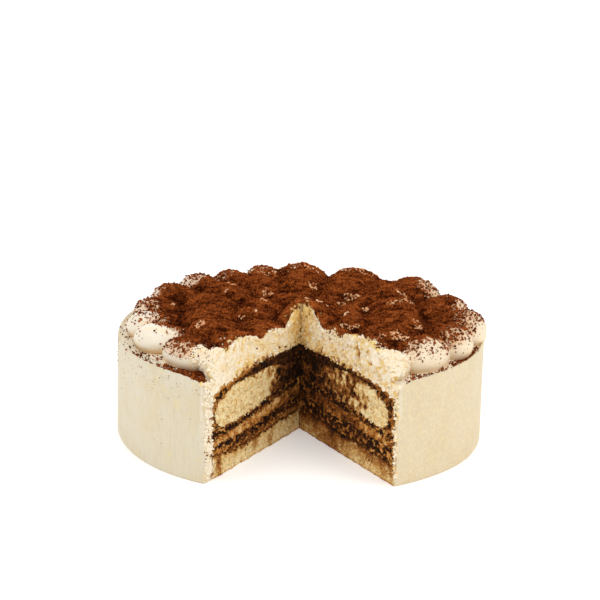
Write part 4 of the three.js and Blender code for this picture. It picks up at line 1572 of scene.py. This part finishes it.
# ---- Crumbs of the cut faces -------------------------------------------------------------------------
FAR = 9  # stands for a distance too great to matter


def layer_at(radius, height, side):
    """Which layer a spot of a cut face belongs to, with its distances to the layer's bottom and top."""
    azimuth = CUTS[side]
    if radius > CORE_RADIUS[side]:
        return "coat", FAR, FAR
    low = 0.0
    for name in ("base_sponge", "coffee_lower", "coffee_cream", "coffee_upper"):
        high = top_of(name, radius, azimuth)
        if height < high:
            return name, height - low, high - height
        low = high
    bend, middle, half = finger_end(azimuth)
    if radius < bend:
        high = finger_top(radius, azimuth, (bend, middle, half))
    else:
        out = min(1.0, (radius - bend) / END_BULGE)
        reach = half * math.sqrt(1 - out * out)
        low, high = middle - reach, middle + reach
    if low < height < high:
        return "ladyfinger", height - low, high - height
    high = cocoa_outside(radius, azimuth)
    if height < high:
        return "cocoa", 1, high - height
    return "cream", height - high, FAR


# Each kind of crumb has the finish named first, and comes from these layers.
CRUMB_KINDS = {
    "sponge": ("sponge", ("base_sponge", "ladyfinger")),
    "coffee": ("coffee", ("coffee_lower", "coffee_upper", "cocoa")),
    "marbled": ("coffee_cream", ("coffee_cream",)),
    "cream": ("cream", ("cream", "coat")),
}
KIND_OF = {layer_name: kind for kind, (_, names) in CRUMB_KINDS.items() for layer_name in names}
CRUMBS_A_SIDE = 6500
CRUMB_SIZES = (0.25, 0.6)  # half their width
CREAM_SIZES = (0.3, 1.0)
CREAM_SOAK = 0.8  # the cream's crumbs hold this share of the coffee of their spot
CRUMB_SPREAD = 0.45  # how far a crumb has slipped along its face
SUNK_SHARE = 0.1  # and how deep it sits, as a share of its size
SPECK, WHITER = 0.45, -0.15  # a few of the coat's crumbs are brown and the others paler than its face
ODD_ONES = (2.2, 0.9)  # how odd a crumb must be to be brown, at the coat's outside and at its inside
CREAM_CRUMBS = (1.0, 0.5)  # the share of the cream's crumbs that are kept, at each cut
TORN_BITS = 2600  # tried at each cut for the outside of the torn cream
TORN_BITS_FROM = 80
TORN_BITS_OUT = 16  # they lie up to this far from the cut


def torn_bits(side):
    """Bits of cream on the outside of what the knife has torn, beside a cut: x, y, z, size and coffee."""
    radius = draw.uniform(TORN_BITS_FROM, CAKE_RADIUS - 1, TORN_BITS)
    away = np.degrees(draw.uniform(0, TORN_BITS_OUT, TORN_BITS) / radius)
    azimuth = SLICE_START + away if side == 0 else SLICE_END - away
    torn = np.array([torn_by_knife(r, a, LEDGE, TORN_PIPING) for r, a in zip(radius, azimuth)])
    kept = draw.uniform(0, 1, TORN_BITS) < torn
    turn = np.radians(azimuth[kept])
    spots, slopes = settle(radius[kept] * np.sin(turn), -radius[kept] * np.cos(turn))
    sizes = draw.uniform(*CREAM_SIZES, len(spots))
    soak = 0.03 + 0.05 * draw.normal(size=len(spots))
    rows = np.column_stack([spots + slopes * 0.1, sizes, soak])
    near = np.radians(away[kept]) * radius[kept] < TORN_SIDE[side]
    return rows[(spots[:, 2] > LEDGE + LEDGE_CLEAR) | ((spots[:, 2] > NOWHERE) & near)].tolist()


def loose_crumb(side):
    """One crumb of a cut face: its kind, with its x, y, z, size and coffee, or None if it isn't kept."""
    azimuth = CUTS[side]
    radius = CAKE_RADIUS * draw.uniform(0.01, 0.998)
    roof = deck_height(radius, azimuth)
    if radius < TORN_REACH[side]:
        roof = float(FILLED_TOP.read(*offsets(radius, azimuth + (0.6, -0.6)[side])))
    height = draw.uniform(0.3, roof)
    name, below, above = layer_at(radius, height, side)
    kind = KIND_OF[name]
    odd = draw.normal()
    soak = soak_of(name, radius, height, side, below, above) + odd * 0.1
    if name == "coat":
        inland = 1 - ease(radius, CORE_RADIUS[side], CAKE_RADIUS)
        soak += SPECK if odd > mix(*ODD_ONES, inland) else WHITER
    lift = crumble(radius, height, side, roughness_kind(kind))
    size = draw.uniform(*CRUMB_SIZES)
    if kind == "cream":
        size = draw.uniform(*CREAM_SIZES)
        soak *= CREAM_SOAK
        if name == "cream" and draw.uniform() > CREAM_CRUMBS[side]:
            return kind, None
    along, up = draw.normal(size=2) * CRUMB_SPREAD
    spot = at(radius + along, azimuth, height + up)
    spot += OUT_OF_CUT[side] * MM * (lift - SUNK_SHARE * size)
    return kind, (spot.x / MM - AXIS.x / MM, spot.y / MM - AXIS.y / MM, spot.z / MM, size, soak)


def crumb_spots():
    """Crumbs all over both cut faces, sorted by the finish they have."""
    found = {kind: [] for kind in CRUMB_KINDS}
    for side in (0, 1):
        for _ in range(CRUMBS_A_SIDE):
            kind, row = loose_crumb(side)
            if row:
                found[kind].append(row)
        found["cream"].extend(torn_bits(side))
    return found


def scatter_crumbs():
    """The crumbs of each kind as one piece."""
    for kind, rows in crumb_spots().items():
        rows = np.array(rows)
        finish = CRUMB_KINDS[kind][0]
        strew(f"{kind}_crumbs", CRUMB, rows[:, :3], rows[:, 3], FINISHES[finish], "soak",
              rows[:, 4].clip(WHITER, 1))


scatter_crumbs()


# ---- Camera, light and floor ---------------------------------------------------------------------------
TARGET_HEIGHT = 27
EYE_ELEVATION = 18.88
EYE_DISTANCE = 1200
EYE_ROLL = 1.0
LENS = 131.8
RISE_OF_VIEW = 0.136  # the share of the frame that the view is raised by
SIGHT = 100  # in metres


def set_camera():
    """A camera in front of the open wedge, looking down a little on the cake."""
    lens = bpy.data.cameras.new("portrait")
    lens.lens = LENS
    lens.shift_y = RISE_OF_VIEW
    lens.clip_end = SIGHT
    camera = in_scene("portrait", lens)
    tilt = math.radians(EYE_ELEVATION)
    back = Vector((0, -math.cos(tilt), math.sin(tilt)))
    camera.location = at(0, 0, TARGET_HEIGHT) + back * EYE_DISTANCE * MM
    facing = (-back).to_track_quat("-Z", "Y").to_matrix()
    camera.rotation_euler = (facing @ Matrix.Rotation(math.radians(EYE_ROLL), 3, "Z")).to_euler()
    bpy.context.scene.camera = camera


ROOM_LIGHT = 0.60
SEEN_WHITE = 1.05  # how bright the room is where the camera sees it
WINDOW_WIDTH = 50  # as an angle
WINDOWS = {  # the way to each, its strength and its colour
    "window_left": ((-0.8, -0.15, 0.65), 0.65, (1.0, 0.99, 0.97)),
    "window_right": ((0.8, -0.3, 0.65), 0.85, (1.0, 0.98, 0.94)),
    "window_above": ((0.1, -0.25, 0.95), 0.62, (1.0, 0.99, 0.97)),
    "window_behind": ((0.0, 0.85, 0.55), 0.7, (1.0, 0.99, 0.97)),
}


def window(name, way, strength, colour):
    """A wide soft light from far away, like a tall window."""
    light = bpy.data.lights.new(name, "SUN")
    light.angle = math.radians(WINDOW_WIDTH)
    light.energy = strength
    light.color = colour
    lamp = in_scene(name, light)
    lamp.rotation_euler = Vector(way).to_track_quat("Z", "Y").to_euler()


def set_light():
    """A white room all round, with a wide window on either side, one overhead and one behind."""
    world = bpy.data.worlds.new("white_room")
    world.use_nodes = True
    nodes, links = world.node_tree.nodes, world.node_tree.links
    glow = nodes["Background"]
    seen = nodes.new("ShaderNodeLightPath")
    strength = nodes.new("ShaderNodeMapRange")
    strength.inputs["To Min"].default_value = ROOM_LIGHT
    strength.inputs["To Max"].default_value = SEEN_WHITE
    links.new(seen.outputs["Is Camera Ray"], strength.inputs["Value"])
    links.new(strength.outputs["Result"], glow.inputs["Strength"])
    glow.inputs["Color"].default_value = (1, 1, 1, 1)
    bpy.context.scene.world = world
    for name, (way, energy, colour) in WINDOWS.items():
        window(name, way, energy, colour)
    bpy.context.scene.view_settings.view_transform = "Standard"


FLOOR_HALF = 12  # in metres, to the floor's edge


def lay_floor():
    """A wide sheet of white paper that glows faintly, so that it melts into the white room."""
    bm = bmesh.new()
    bmesh.ops.create_grid(bm, x_segments=1, y_segments=1, size=FLOOR_HALF)
    floor = shape_of(bm, "floor")
    paper = Finish(
        "white_paper", Roughness=0.9, Specular_IOR_Level=0.0, Base_Color=(0.93, 0.93, 0.93, 1),
        Emission_Color=(1.0, 1.0, 1.0, 1), Emission_Strength=0.24,
    )
    floor.data.materials.append(paper.material)


set_camera()
set_light()
lay_floor()
